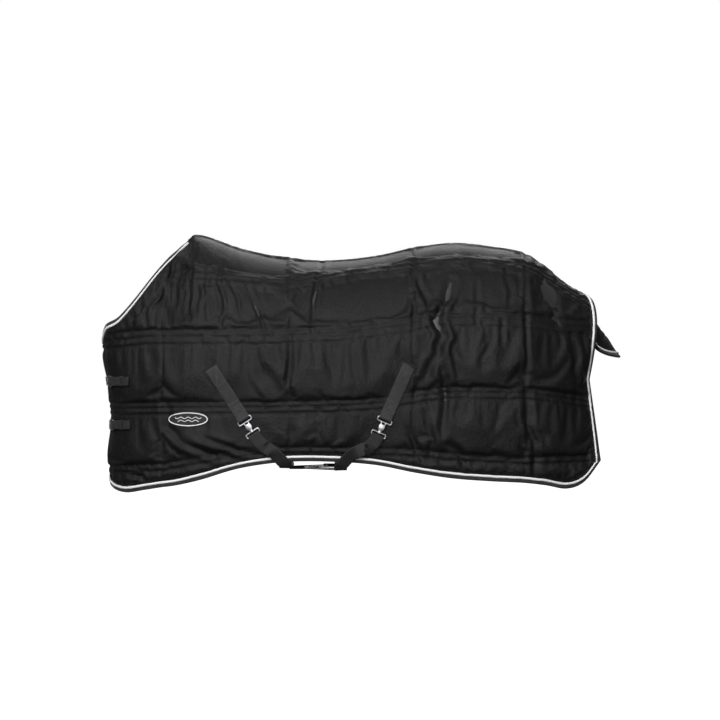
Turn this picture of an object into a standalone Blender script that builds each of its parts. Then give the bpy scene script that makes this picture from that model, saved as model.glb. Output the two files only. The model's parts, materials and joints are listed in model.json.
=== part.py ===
"""Turnout rug for a horse, as worn: two quilted side panels joined along the spine, bound and piped
edges, an overlapping chest closure with two buckled straps, crossed belly straps with hook-and-loop
metal clips and adjusters, a tail flap and an oval badge.

Metres, +Z up, +X towards the tail. The near side is -Y and the far side is +Y. The origin is the seat
on the withers, at the centre of the lining's underside.
"""
import math

import bmesh
import bpy
from mathutils import Matrix, Vector
from mathutils.bvhtree import BVHTree

NEAR, FAR = -1.0, 1.0
GAP = 0.0003                      # between surfaces that touch on the real rug

# Stations of one side panel's underside, from the chest edge to the rear edge. Each holds a point on
# the upper edge (neck or spine), one where the side stands upright, and one on the hem, as
# (x, outward y, z), and how far the column bows backwards between the first two.
STATIONS = (
    ((-0.306, -0.045, -0.352), (-0.273, -0.045, -0.620), (-0.276, -0.045, -0.832), 0.0),
    ((-0.313, 0.020, -0.338), (-0.277, 0.020, -0.620), (-0.283, 0.020, -0.848), 0.0),
    ((-0.300, 0.070, -0.300), (-0.268, 0.080, -0.610), (-0.268, 0.076, -0.864), 0.0),
    ((-0.268, 0.112, -0.276), (-0.240, 0.135, -0.580), (-0.238, 0.128, -0.874), 0.0),
    ((-0.214, 0.137, -0.207), (-0.195, 0.180, -0.530), (-0.190, 0.170, -0.866), 0.0),
    ((-0.148, 0.128, -0.121), (-0.138, 0.214, -0.480), (-0.130, 0.202, -0.856), 0.0),
    ((-0.098, 0.084, -0.062), (-0.092, 0.230, -0.460), (-0.085, 0.218, -0.850), 0.0),
    ((-0.050, 0.000, -0.024), (-0.044, 0.243, -0.450), (-0.036, 0.232, -0.840), 0.0),
    ((0.000, 0.000, 0.000), (0.012, 0.255, -0.440), (0.022, 0.245, -0.825), 0.0),
    ((0.143, 0.000, -0.047), (0.143, 0.280, -0.430), (0.143, 0.262, -0.789), 0.0),
    ((0.290, 0.000, -0.078), (0.290, 0.293, -0.420), (0.290, 0.270, -0.768), 0.0),
    ((0.440, 0.000, -0.088), (0.440, 0.298, -0.420), (0.440, 0.272, -0.766), 0.0),
    ((0.600, 0.000, -0.073), (0.600, 0.298, -0.410), (0.600, 0.272, -0.777), 0.0),
    ((0.737, 0.000, -0.044), (0.740, 0.293, -0.410), (0.740, 0.270, -0.804), 0.0),
    ((0.876, 0.000, -0.027), (0.872, 0.289, -0.400), (0.870, 0.266, -0.824), 0.0),
    ((1.003, 0.000, -0.039), (1.003, 0.280, -0.400), (1.003, 0.260, -0.834), 0.0),
    ((1.088, 0.000, -0.054), (1.095, 0.266, -0.410), (1.105, 0.252, -0.839), 0.0),
    ((1.159, 0.000, -0.088), (1.168, 0.244, -0.420), (1.185, 0.238, -0.848), 0.0),
    ((1.238, 0.000, -0.150), (1.240, 0.210, -0.450), (1.258, 0.216, -0.860), 0.010),
    ((1.289, 0.000, -0.187), (1.295, 0.170, -0.470), (1.318, 0.190, -0.838), 0.020),
    ((1.336, 0.000, -0.208), (1.335, 0.122, -0.490), (1.376, 0.158, -0.768), 0.028),
)
MANE = 7                          # the station where the neck edge meets the spine
HALVED = (1, 2, 3, 4, 5, 6, 18)   # spans that take one more station halfway
MANE_FAN = 0.022                  # the column at the mane first runs back by this much
MANE_PIPING_INSET = 0.018         # the neck's bead ends this far from the mane
BORDER = 0.027                    # the mesh has a line this far in from every bound edge
UPPER_ROWS = 5                    # rows of the quilt's mesh from the upper edge to the upright line
LOWER_ROWS = 4                    # rows from there to the hem
SHOULDER_SLOPE = 0.08             # outward y of the neck edge from which the shoulder falls straight

# Quilt: lining, filling and outer cloth, stitched through into one padded sheet
LINING_THICKNESS = 0.0012
FILLING_THICKNESS = 0.0080
OUTER_THICKNESS = 0.0012
QUILT_THICKNESS = LINING_THICKNESS + FILLING_THICKNESS + OUTER_THICKNESS + 2.0 * GAP
SEAM_HALF = QUILT_THICKNESS * 0.045    # the two sides stop this far from the centre plane

# Bound edge: a folded tape round the quilt's edge, with a piping bead along its inner border
BINDING_WIDTH = 0.010
TAPE_THICKNESS = 0.0012
PIPING_WIDTH = 0.006
PIPING_HEIGHT = 0.003
BEAD_GAP = 0.0009                 # between the tape's border and the bead
TIP_GAP = BINDING_WIDTH * 0.18    # the tape's borders and the bead lie this far off the flat facets
FLAP_TIP_GAP = BINDING_WIDTH * 0.29    # the same on the tail flap, whose facets turn more
EDGE_GAP = 0.0009                 # between the quilt's edge and the tape's fold
FLAP_CLEARANCE = 0.0036
# The near chest flap lies over the far one, on top of its binding and piping
FLAP_LIFT = QUILT_THICKNESS + PIPING_HEIGHT + TAPE_THICKNESS + 2.0 * TIP_GAP + FLAP_CLEARANCE
FLAP_LIFT_SHARES = (1.0, 1.0, 1.0, 0.55, 0.15)

# Webbing and its clips
WEB_WIDTH = 0.044
WEB_THICKNESS = 0.0022
WEB_SEAT = 0.0013                 # webbing lies this far off the flat facets of the quilt
BAR_WIDTH, BAR_THICKNESS = 0.0036, 0.0026
BAR_PLAY = 0.0004                 # round a bar that turns in its webbing
BAR_RADIUS = math.hypot(BAR_WIDTH, BAR_THICKNESS) / 2.0
TURN_RADIUS = BAR_RADIUS + BAR_PLAY + WEB_THICKNESS / 2.0
BAR_HEIGHT = WEB_SEAT + WEB_THICKNESS + BAR_PLAY + BAR_RADIUS    # of a clip's bar over the cloth
CLIP_SPAN = 0.0130                # between the two bars of a webbing slot
CLIP_SIDE_GAP = 0.0010            # between the webbing's edge and the frame's side
HOOK_NECK = 0.0417                # from the hook's second bar to its lip
HOOK_NECK_WIDTH = 0.014
HOOK_HEAD_WIDTH = 0.020
HOOK_PLAY = 0.0006                # between the hook and the bar that it holds
TAB_FOLD = 0.055                  # length of the tab's upper layer, sewn back on itself
TAB_RAMP = 0.014                  # the upper layer comes down onto the lower one over this length

FRONT_TAB_TOP, FRONT_TAB_END = (0.0443, -0.4500), (0.1560, -0.6230)
REAR_TAB_TOP, REAR_TAB_END = (0.7195, -0.4390), (0.6385, -0.6220)
PATCH_MARGIN = 0.009              # of the reinforcing patch round a tab's top
PATCH_LENGTH = 0.075
PATCH_THICKNESS = 0.0010
PATCH_SEAT = 0.0011

# Belly straps: they cross under the horse's belly
CROSSING_X = 0.392
BELLY_Z = -0.786                  # height of the upper strap's main layer
BELLY_HALF = 0.225                # each strap is straight and level this far from the crossing
STRAP_SPREAD = 0.095              # how far along the hem each strap passes from the crossing
LAYER_STEP = WEB_THICKNESS + 0.0024
STRAP_STACK = LAYER_STEP + WEB_THICKNESS + 2.0 * GAP    # the second strap lies under the first
HEM_CLEARANCE = 0.0076            # the straps' height over the cloth where they pass the bound hem
ADJUSTER_Y = 0.140
ADJUSTER_LENGTH = 0.014
ADJUSTER_WALL = 0.0024
ADJUSTER_PLAY = 0.0005
RETURN_TAIL = 0.070               # the doubled layer runs this far past the adjuster
HEM_ROUTE_Z = -0.742              # the straps leave the quilt at this height
HEM_TURN_Z = -0.7775              # and turn under the hem at this one

# Chest straps
CHEST_HEIGHTS = (("upper", -0.495), ("lower", -0.645))
CHEST_WEB_WIDTH = 0.030
CHEST_SEAT = 0.0012               # the chest webbing's height over the cloth, which bulges there
BUCKLE_LIFT = 0.0018
CHEST_AXIS = Vector((-0.085, 0.0, 0.0))   # upright line that the chest straps curve around
BUCKLE_ANGLE = 28.0               # degrees round the chest axis from straight ahead, to the heel bar
BUCKLE_SPAN = 0.030               # from the buckle's heel bar to its front bar
CHAPE_ANGLE = 17.0                # the chape and the billet's end lie this far behind the heel bar
TONGUE_RADIUS = 0.0013
TONGUE_SLOT = 0.0080              # width of the slot in the chape for the tongue
# From the far end: degrees round the chest axis and height over the cloth; it steps up onto the flap
BILLET_ROUTE = ((-42.0, 0.0026), (-36.0, 0.0026), (-30.0, 0.0026), (-24.0, 0.0026), (-18.0, 0.0045),
                (-14.0, 0.0260), (-8.0, 0.0072), (-3.0, 0.0058), (3.0, 0.0030), (9.0, 0.0032))
HOLE_WIDTH = 0.0060
HOLE_START, HOLE_END = -0.0050, 0.0225    # of the billet's slot, ahead of the heel bar
KEEPER_LENGTH = 0.010
KEEPER_WALL = 0.0018
KEEPER_PLAY = 0.0008

# Tail flap, hung under the rug's rear end
FLAP_ROOT = Vector((1.3220, 0.0, -0.2400))
FLAP_SLOPE = math.radians(-54.0)
FLAP_DOWN = Vector((math.cos(FLAP_SLOPE), 0.0, math.sin(FLAP_SLOPE)))
FLAP_OUT = Vector((-math.sin(FLAP_SLOPE), 0.0, math.cos(FLAP_SLOPE)))
FLAP_LENGTH = 0.214
FLAP_HALF_WIDTH = 0.088
FLAP_ROOT_HALF = 0.026
FLAP_DEPTH = 0.048                # how far its sides droop round the tail
FLAP_THICKNESS = 0.007
FLAP_STRIP_LENGTH = 0.050
FLAP_STRIP_TURN = 0.016           # it turns down towards the flap this far before the flap's root
FLAP_STRIP_THICKNESS = 0.0030
FLAP_STRIP_DROP = 0.0038          # from the lining's ridge to the strip's middle

BADGE_CENTRE = (-0.034, -0.6245)
BADGE_HALF_LENGTH, BADGE_HALF_HEIGHT = 0.070, 0.0265
BADGE_THICKNESS = 0.0015
BADGE_RIM = 0.003
BADGE_RIM_HEIGHT = 0.0008
BADGE_SEAT = 0.0006

CLOTH = (0.018, 0.018, 0.019)
WEBBING = (0.014, 0.014, 0.015)
TAPE = (0.040, 0.040, 0.042)
WHITE = (0.80, 0.80, 0.79)
STEEL = (0.78, 0.78, 0.80)
WADDING = (0.72, 0.72, 0.70)
LINING = (0.035, 0.035, 0.037)


def new_collection(name):
    """A collection of this name in the scene."""
    collection = bpy.data.collections.new(name)
    bpy.context.scene.collection.children.link(collection)
    return collection


def material(name, colour, roughness, metallic=0.0):
    """A Principled material."""
    made = bpy.data.materials.new(name)
    made.use_nodes = True
    shader = made.node_tree.nodes["Principled BSDF"]
    shader.inputs["Base Color"].default_value = (*colour, 1.0)
    shader.inputs["Roughness"].default_value = roughness
    shader.inputs["Metallic"].default_value = metallic
    return made


def place(mesh, name, surface, origin=None, collection=None):
    """Put a mesh that is drawn in world space into the scene, with its origin on the given point."""
    colour, roughness, metallic = surface
    mesh.materials.append(material(name, colour, roughness, metallic))
    if origin is not None:
        mesh.transform(Matrix.Translation(-Vector(origin)))
    made = bpy.data.objects.new(name, mesh)
    if origin is not None:
        made.location = origin
    (collection or PARTS).objects.link(made)
    return made


def grid_mesh(name, rows, mirrored=False):
    """An open surface through rows of points; mirrored turns its faces over."""
    mesh = bpy.data.meshes.new(name)
    width = len(rows[0])
    points = [tuple(point) for row in rows for point in row]
    faces = []
    for i in range(len(rows) - 1):
        for j in range(width - 1):
            corner = i * width + j
            face = (corner + 1, corner + width + 1, corner + width, corner)
            faces.append((face[0], *reversed(face[1:])) if mirrored else face)
    mesh.from_pydata(points, [], faces)
    return mesh


def loft(name, sections, surface, origin=None):
    """A closed solid through a row of like sections, each a ring of points, with flat ends."""
    sides = len(sections[0])
    points = [tuple(point) for section in sections for point in section]
    faces = [tuple(range(sides)), tuple(reversed(range(len(points) - sides, len(points))))]
    for i in range(len(sections) - 1):
        for j in range(sides):
            k = (j + 1) % sides
            faces.append((i * sides + j, (i + 1) * sides + j, (i + 1) * sides + k, i * sides + k))
    mesh = bpy.data.meshes.new(name)
    mesh.from_pydata(points, [], faces)
    shape = bmesh.new()
    shape.from_mesh(mesh)
    bmesh.ops.recalc_face_normals(shape, faces=shape.faces)
    shape.to_mesh(mesh)
    shape.free()
    return place(mesh, name, surface, origin)


def ribbon(name, stations, thickness, surface):
    """Webbing through (centre, half width, up) stations, centred on its own thickness."""
    sections = []
    for centre, half, up in stations:
        rise = up * (thickness / 2.0)
        sections.append((centre - half - rise, centre + half - rise, centre + half + rise,
                         centre - half + rise))
    return loft(name, sections, surface)


def blended(first, second, share):
    """The point a share of the way from one point to the other."""
    return first + (second - first) * share


# ---------------------------------------------------------------- side panels

def halfway(index):
    """A station halfway between two others, on the smooth curve through their neighbours."""
    before, first, second, after = STATIONS[index - 1:index + 3]
    lines = []
    for line in range(3):
        lines.append(tuple((9.0 * (first[line][k] + second[line][k]) - before[line][k] - after[line][k])
                           / 16.0 for k in range(3)))
    return (*lines, (first[3] + second[3]) / 2.0)


def all_stations():
    """Every station with its share of the chest flap's lift, in order along the rug."""
    shares = FLAP_LIFT_SHARES + (0.0,) * (len(STATIONS) - len(FLAP_LIFT_SHARES))
    stations = []
    for index, station in enumerate(STATIONS):
        stations.append((station, shares[index]))
        if index in HALVED:
            stations.append((halfway(index), (shares[index] + shares[index + 1]) / 2.0))
    return stations


def column(station, side):
    """One station's points from the upper edge to the hem, on the lining's underside."""
    (top_x, top_y, top_z), (mid_x, mid_y, mid_z), (hem_x, hem_y, hem_z), bow = station
    fan = MANE_FAN if station is STATIONS[MANE] else 0.0
    roundness = max(0.0, 1.0 - abs(top_y) / SHOULDER_SLOPE)
    points = []
    upper = [row / UPPER_ROWS for row in range(UPPER_ROWS + 1)]
    upper.insert(1, BORDER / math.dist(station[0], station[1]))
    lower = [row / LOWER_ROWS for row in range(1, LOWER_ROWS + 1)]
    lower.insert(-1, 1.0 - BORDER / math.dist(station[1], station[2]))
    for share in upper:
        turn = share * math.pi / 2.0
        fall = roundness * (1.0 - math.cos(turn)) + (1.0 - roundness) * share
        out = top_y + (mid_y - top_y) * math.sin(turn)
        back = top_x + (mid_x - top_x) * share + bow * math.sin(share * math.pi)
        back += fan * min(1.0, share / upper[1]) * (1.0 - share)
        points.append(Vector((back, side * max(out, SEAM_HALF) if top_y >= 0.0 else side * out,
                              top_z + (mid_z - top_z) * fall)))
    for share in lower:
        points.append(Vector((mid_x + (hem_x - mid_x) * share,
                              side * (mid_y + (hem_y - mid_y) * share * share),
                              mid_z + (hem_z - mid_z) * share)))
    return points


def grid_normals(rows, side):
    """Outward unit normals at the points of a panel's grid."""
    normals = []
    for i, row in enumerate(rows):
        line = []
        for j in range(len(row)):
            along = rows[min(i + 1, len(rows) - 1)][j] - rows[max(i - 1, 0)][j]
            down = row[min(j + 1, len(row) - 1)] - row[max(j - 1, 0)]
            line.append(along.cross(down).normalized() * side)
        normals.append(line)
    return normals


def panel_grid(side):
    """The underside of a side panel; the near one's chest edge is lifted over the far one's."""
    stations = all_stations()
    rows = [column(station, side) for station, _ in stations]
    if side == NEAR:
        normals = grid_normals(rows, side)
        for i, (_, share) in enumerate(stations):
            rows[i] = [point + normal * (FLAP_LIFT * share)
                       for point, normal in zip(rows[i], normals[i])]
    for edge, neighbour, place_at in ((0, 1, 1), (-1, -2, -1)):
        border = [blended(point, other, BORDER / (other - point).length)
                  for point, other in zip(rows[edge], rows[neighbour])]
        rows.insert(place_at, border)
    return rows


def quilt_layer(name, rows, side, low, thickness, surface):
    """One layer of the quilt, from low above the panel's underside."""
    mesh = grid_mesh(name, rows, mirrored=side == FAR)
    made = place(mesh, name, surface)
    shell = made.modifiers.new("Thickness", "SOLIDIFY")
    shell.thickness = thickness
    shell.offset = 1.0 + 2.0 * low / thickness
    shell.use_even_offset = False
    return made


# The mane's column in a panel's grid, past the halved spans and the chest edge's border line
GRID_MANE = MANE + sum(index < MANE for index in HALVED) + 1


def side_panel(word, side, rows):
    """The three stitched layers of one side."""
    filling_low = LINING_THICKNESS + GAP
    outer_low = filling_low + FILLING_THICKNESS + GAP
    quilt_layer(word + "_lining", rows, side, 0.0, LINING_THICKNESS, (LINING, 0.6, 0.0))
    quilt_layer(word + "_filling", rows, side, filling_low, FILLING_THICKNESS, (WADDING, 0.9, 0.0))
    return quilt_layer(word + "_outer_cloth", rows, side, outer_low, OUTER_THICKNESS, (CLOTH, 0.5, 0.0))


def vertex_normals(rows, side):
    """The normals that the quilt's thickness follows, at each point of its grid."""
    mesh = grid_mesh("normals", rows)
    width = len(rows[0])
    normals = [vertex.normal.copy() for vertex in mesh.vertices]
    bpy.data.meshes.remove(mesh)
    sign = 1.0 if (normals[len(normals) // 2].y > 0.0) == (side > 0.0) else -1.0
    return [[normals[i * width + j] * sign for j in range(width)] for i in range(len(rows))]


# ---------------------------------------------------------------- bound edges

def edge_stations(rows, normals, path):
    """Edge stations along a path of (row, column, inner row, inner column).

    Each is the edge's point and normal, those of the grid point further in, how much longer than
    square across the tape the way to it is, and the side that the section has to keep to, or 0.
    """
    stations = [[rows[i][j].copy(), normals[i][j].copy(), rows[k][m].copy(), normals[k][m].copy(),
                 1.0, 0.0] for i, j, k, m in path]
    for k, station in enumerate(stations):
        run = stations[min(k + 1, len(stations) - 1)][0] - stations[max(k - 1, 0)][0]
        skew = run.normalized().cross((station[2] - station[0]).normalized()).length
        station[4] = 1.0 / max(skew, 0.6)
    return stations


def trimmed(stations, start, end):
    """The same edge with a length cut off either end."""
    cut = [list(station) for station in stations]
    for index, neighbour, length in ((0, 1, start), (-1, -2, end)):
        if length > 0.0:
            share = length / (cut[neighbour][0] - cut[index][0]).length
            cut[index] = [blended(own, other, share) for own, other
                          in zip(cut[index][:-1], cut[neighbour][:-1])] + cut[index][-1:]
    return cut


def edge_section(station, outline):
    """An outline of (depth in from the edge, height over the underside) at an edge station."""
    point, normal, inner, inner_normal, skew, side = station
    section = []
    for depth, height in outline:
        start, end = point + normal * height, inner + inner_normal * height
        corner = start + (end - start).normalized() * (depth * skew)
        if side:
            corner.y = side * max(side * corner.y, SEAM_HALF)
        section.append(corner)
    return section


def binding(name, stations, thickness=QUILT_THICKNESS, tip_gap=TIP_GAP):
    """A tape folded round a quilted edge."""
    outside = -(TAPE_THICKNESS + EDGE_GAP)
    low, high = -GAP, thickness + GAP
    low_tip, high_tip = -tip_gap, thickness + tip_gap
    outline = ((outside, low - TAPE_THICKNESS), (BINDING_WIDTH, low_tip - TAPE_THICKNESS),
               (BINDING_WIDTH, low_tip), (-EDGE_GAP, low), (-EDGE_GAP, high), (BINDING_WIDTH, high_tip),
               (BINDING_WIDTH, high_tip + TAPE_THICKNESS), (outside, high + TAPE_THICKNESS))
    return loft(name, [edge_section(station, outline) for station in stations], (TAPE, 0.7, 0.0))


def piping(name, stations, thickness=QUILT_THICKNESS, tip_gap=TIP_GAP):
    """A bead that lies on the quilt along the inner border of its binding."""
    near_edge = BINDING_WIDTH + BEAD_GAP
    foot = thickness + tip_gap
    outline = ((near_edge, foot), (near_edge + PIPING_WIDTH, foot),
               (near_edge + PIPING_WIDTH * 0.82, foot + PIPING_HEIGHT * 0.75),
               (near_edge + PIPING_WIDTH * 0.50, foot + PIPING_HEIGHT),
               (near_edge + PIPING_WIDTH * 0.18, foot + PIPING_HEIGHT * 0.75))
    return loft(name, [edge_section(station, outline) for station in stations], (WHITE, 0.6, 0.0))


def panel_edges(word, rows, normals):
    """Bindings and pipings of one side: neck, chest edge, hem and rear edge."""
    last, hem = len(rows) - 1, len(rows[0]) - 1
    mane = GRID_MANE
    neck = edge_stations(rows, normals, [(i, 0, i, 1) for i in range(mane + 1)])
    neck[-1][5] = math.copysign(1.0, neck[-1][2].y)
    chest = edge_stations(rows, normals, [(0, j, 1, j) for j in range(hem + 1)])
    bottom = edge_stations(rows, normals, [(i, hem, i, hem - 1) for i in range(last + 1)])
    rear = edge_stations(rows, normals, [(last, j, last - 1, j) for j in range(hem + 1)])
    rear[0][5] = math.copysign(1.0, rows[-1][1].y)
    past_tape = BINDING_WIDTH + BEAD_GAP + TIP_GAP
    past_bead = past_tape + PIPING_WIDTH + TIP_GAP
    top_skew, front_skew, rear_skew = neck[0][4], bottom[0][4], bottom[-1][4]
    binding(word + "_neck_binding", neck)
    binding(word + "_chest_binding", trimmed(chest, past_tape * top_skew, past_tape * front_skew))
    binding(word + "_hem_binding", bottom)
    binding(word + "_rear_binding", trimmed(rear, 0.0, past_tape * rear_skew))
    piping(word + "_neck_piping", trimmed(neck, past_tape * chest[0][4], MANE_PIPING_INSET))
    piping(word + "_chest_piping", trimmed(chest, past_bead * top_skew, past_bead * front_skew))
    piping(word + "_hem_piping", trimmed(bottom, past_tape * chest[-1][4], past_tape * rear[-1][4]))
    piping(word + "_rear_piping", trimmed(rear, 0.0, past_bead * rear_skew))


def spine_piping(rows, normals):
    """The bead over the seam along the spine."""
    foot = QUILT_THICKNESS + 2.0 * GAP
    half = PIPING_WIDTH / 2.0
    outline = ((-half, foot), (half, foot), (half * 0.64, foot + PIPING_HEIGHT * 0.75),
               (0.0, foot + PIPING_HEIGHT), (-half * 0.64, foot + PIPING_HEIGHT * 0.75))
    sections = []
    mane = GRID_MANE
    inset = BINDING_WIDTH + PIPING_WIDTH + 2.0 * TIP_GAP
    ends = {mane: blended(rows[mane][0], rows[mane + 1][0], 0.4),
            len(rows) - 1: blended(rows[-1][0], rows[-2][0],
                                   inset / (rows[-1][0] - rows[-2][0]).length)}
    for i in range(mane, len(rows)):
        point = ends.get(i, rows[i][0])
        up = Vector((normals[i][0].x, 0.0, normals[i][0].z)).normalized()
        sections.append([Vector((point.x, 0.0, point.z)) + Vector((0.0, across, 0.0)) + up * height
                         for across, height in outline])
    return loft("spine_piping", sections, (WHITE, 0.6, 0.0))


# ---------------------------------------------------------------- things laid on the quilt

def surface_tree(objects):
    """A ray tree of the finished outer faces of both sides."""
    graph = bpy.context.evaluated_depsgraph_get()
    joined = bmesh.new()
    for each in objects:
        joined.from_mesh(each.evaluated_get(graph).to_mesh())
    tree = BVHTree.FromBMesh(joined)
    joined.free()
    return tree


def on_side(side, x, z):
    """Point and outward normal on the outer cloth where a side view sees (x, z)."""
    spot, normal, _, _ = SKIN.ray_cast(Vector((x, side * 2.0, z)), Vector((0.0, -side, 0.0)))
    if normal.y * side < 0.0:
        normal = -normal
    return spot, normal


def on_chest(angle, z):
    """Point and outward normal on the cloth at an angle round the chest axis."""
    out = Vector((-math.cos(math.radians(angle)), -math.sin(math.radians(angle)), 0.0))
    start = Vector((CHEST_AXIS.x, CHEST_AXIS.y, z)) + out * 2.0
    spot, normal, _, _ = SKIN.ray_cast(start, -out)
    if normal.dot(out) < 0.0:
        normal = -normal
    return spot, normal


def aligned(vector, guide):
    """The vector, turned to the side that the guide points to."""
    return vector if vector.dot(guide) > 0.0 else -vector


def clip_frame(side, top, end):
    """A clip's own axes at a tab's end: X across the webbing, Y down it, Z off the cloth."""
    spot, normal = on_side(side, *end)
    above, _ = on_side(side, *blended(Vector(end), Vector(top), 0.25))
    down = spot - above
    down = (down - normal * down.dot(normal)).normalized()
    across = aligned(down.cross(normal), Vector((1.0, 0.0, 0.0)))
    return spot + normal * BAR_HEIGHT, across, down, normal


def laid_station(side, spot, heading, height, width, guide):
    """A ribbon station on the cloth of a side, at a height over it."""
    reach = Vector((-heading.y, heading.x)).normalized() * (width / 2.0)
    left, left_up = on_side(side, spot.x - reach.x, spot.y - reach.y)
    right, right_up = on_side(side, spot.x + reach.x, spot.y + reach.y)
    up = (left_up + right_up).normalized()
    return (left + right) / 2.0 + up * height, aligned((right - left) / 2.0, guide), up


def lay_strip(name, side, start, finish, width, thickness, height, surface):
    """A flat strip laid on the cloth from one place to another."""
    first, last = Vector(start), Vector(finish)
    heading = (last - first).normalized()
    guide = Vector((1.0, 0.0, 0.3))
    stations = [laid_station(side, blended(first, last, share), heading, height + thickness / 2.0,
                             width, guide) for share in (0.0, 0.5, 1.0)]
    return ribbon(name, stations, thickness, surface)


def bar_turn(bar, down, up, half, steps=6):
    """Webbing turned round a bar, from its lower side over the far end of down to its upper side."""
    stations = []
    for k in range(steps + 1):
        angle = math.pi * (k / steps - 0.5)
        out = down * math.cos(angle) + up * math.sin(angle)
        stations.append((bar + out * TURN_RADIUS, half, out))
    return stations


def surcingle_tab(name, side, top, end):
    """A webbing tab sewn on the rug, folded round its clip's bar and back on itself."""
    bar, across, down, up = clip_frame(side, top, end)
    start, finish = Vector(top), Vector(end)
    heading, length = (finish - start).normalized(), (finish - start).length
    low = PATCH_SEAT + PATCH_THICKNESS + GAP + WEB_THICKNESS / 2.0
    high = low + WEB_THICKNESS + GAP
    half = across * (WEB_WIDTH / 2.0)
    stations = []
    for share in (0.0, 0.25, 0.5, 0.75, 0.93):
        height = low if share < 0.9 else WEB_SEAT + WEB_THICKNESS / 2.0
        centre, reach, rise = laid_station(side, start + heading * length * share, heading, height,
                                           WEB_WIDTH, across)
        stations.append((centre, reach, -rise))
    stations += bar_turn(bar, down, up, half)
    for run in (TAB_RAMP, TAB_RAMP + TAB_FOLD / 2.0, TAB_RAMP + TAB_FOLD):
        stations.append(laid_station(side, finish - heading * run, heading, high, WEB_WIDTH, across))
    return ribbon(name, stations, WEB_THICKNESS, (WEBBING, 0.7, 0.0))


def rect_loop(name, width, length, matrix, surface, origin=None):
    """A closed frame with round corners: bars at Y = 0 and Y = length, of the clips' flat section."""
    corner, steps = 0.0035, 3
    half_x, sections = width / 2.0, []
    centres = ((half_x - corner, length - corner, 0.0), (corner - half_x, length - corner, 90.0),
               (corner - half_x, corner, 180.0), (half_x - corner, corner, 270.0))
    for x, y, first in centres:
        for k in range(steps + 1):
            angle = math.radians(first + 90.0 * k / steps)
            out = Vector((math.cos(angle), math.sin(angle), 0.0))
            centre = Vector((x, y, 0.0)) + out * corner
            sections.append([matrix @ (centre + out * (BAR_WIDTH / 2.0 * a)
                                       + Vector((0.0, 0.0, BAR_THICKNESS / 2.0 * b)))
                             for a, b in ((-1, -1), (1, -1), (1, 1), (-1, 1))])
    points = [tuple(point) for section in sections for point in section]
    count, faces = len(sections), []
    for i in range(count):
        following = (i + 1) % count
        for j in range(4):
            k = (j + 1) % 4
            faces.append((i * 4 + j, following * 4 + j, following * 4 + k, i * 4 + k))
    mesh = bpy.data.meshes.new(name)
    mesh.from_pydata(points, [], faces)
    shape = bmesh.new()
    shape.from_mesh(mesh)
    bmesh.ops.recalc_face_normals(shape, faces=shape.faces)
    shape.to_mesh(mesh)
    shape.free()
    return place(mesh, name, surface, origin)


def own_axes(origin, across, down, up):
    """The matrix of a piece's own axes in the world."""
    columns = (across, down, up)
    matrix = Matrix([[column[row] for column in columns] + [origin[row]] for row in range(3)]
                    + [[0.0, 0.0, 0.0, 1.0]])
    return matrix


def combine(target, tool, operation):
    """A Boolean of the target with a hidden tool."""
    for collection in list(tool.users_collection):
        collection.objects.unlink(tool)
    CUTTERS.objects.link(tool)
    tool.hide_render = True
    tool.display_type = "WIRE"
    change = target.modifiers.new(tool.name, "BOOLEAN")
    change.object = tool
    change.operation = operation
    change.solver = "EXACT"


def frame_width():
    """Width of a clip's webbing frame between the centres of its sides."""
    return WEB_WIDTH + 2.0 * CLIP_SIDE_GAP + BAR_WIDTH


def surcingle_hook(name, side, top, end):
    """The hook: a webbing frame, and a neck that passes over the loop's bar and turns in under it."""
    bar, across, down, up = clip_frame(side, top, end)
    matrix = own_axes(bar, across, down, up)
    steel = (STEEL, 0.25, 1.0)
    hook = rect_loop(name, frame_width(), CLIP_SPAN, matrix, steel, origin=bar)
    over = BAR_THICKNESS + HOOK_PLAY
    lip = CLIP_SPAN + HOOK_NECK
    flat = BAR_THICKNESS / 2.0
    neck_line = ((CLIP_SPAN - 0.0006, 0.0, HOOK_NECK_WIDTH), (CLIP_SPAN + 0.0030, 0.0, HOOK_NECK_WIDTH),
                 (CLIP_SPAN + 0.0055, over, HOOK_NECK_WIDTH), (lip - 0.0020, over, HOOK_HEAD_WIDTH),
                 (lip, over * 0.45, HOOK_HEAD_WIDTH), (lip, -flat, HOOK_HEAD_WIDTH))
    sections = []
    for index, (run, height, width) in enumerate(neck_line):
        ahead = neck_line[min(index + 1, len(neck_line) - 1)]
        behind = neck_line[max(index - 1, 0)]
        slope = Vector((0.0, ahead[0] - behind[0], ahead[1] - behind[1])).normalized()
        rise = Vector((0.0, -slope.z, slope.y)) * (flat * 0.92)
        centre, half = Vector((0.0, run, height)), Vector((width / 2.0, 0.0, 0.0))
        sections.append([matrix @ corner for corner in (centre - half - rise, centre + half - rise,
                                                        centre + half + rise, centre - half + rise)])
    combine(hook, loft(name + "_neck", sections, steel), "UNION")
    return hook


def held_bar_offset():
    """From the hook's webbing bar to the loop's bar that its lip holds."""
    return CLIP_SPAN + HOOK_NECK - BAR_THICKNESS / 2.0 - HOOK_PLAY - BAR_WIDTH / 2.0


def surcingle_loop(name, side, top, end):
    """The loop that the hook holds, on the belly strap's end."""
    bar, across, down, up = clip_frame(side, top, end)
    matrix = own_axes(bar + down * held_bar_offset(), across, down, up)
    return rect_loop(name, frame_width(), CLIP_SPAN, matrix, (STEEL, 0.25, 1.0),
                     origin=bar + down * (held_bar_offset() + CLIP_SPAN))


def through_points(points, ups, width, guide):
    """Ribbon stations through free points, each with its outward direction."""
    stations = []
    for k, (point, up) in enumerate(zip(points, ups)):
        heading = (points[min(k + 1, len(points) - 1)] - points[max(k - 1, 0)]).normalized()
        half = aligned(heading.cross(up).normalized(), guide) * (width / 2.0)
        guide = half
        stations.append((point, half, up))
    return stations


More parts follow.
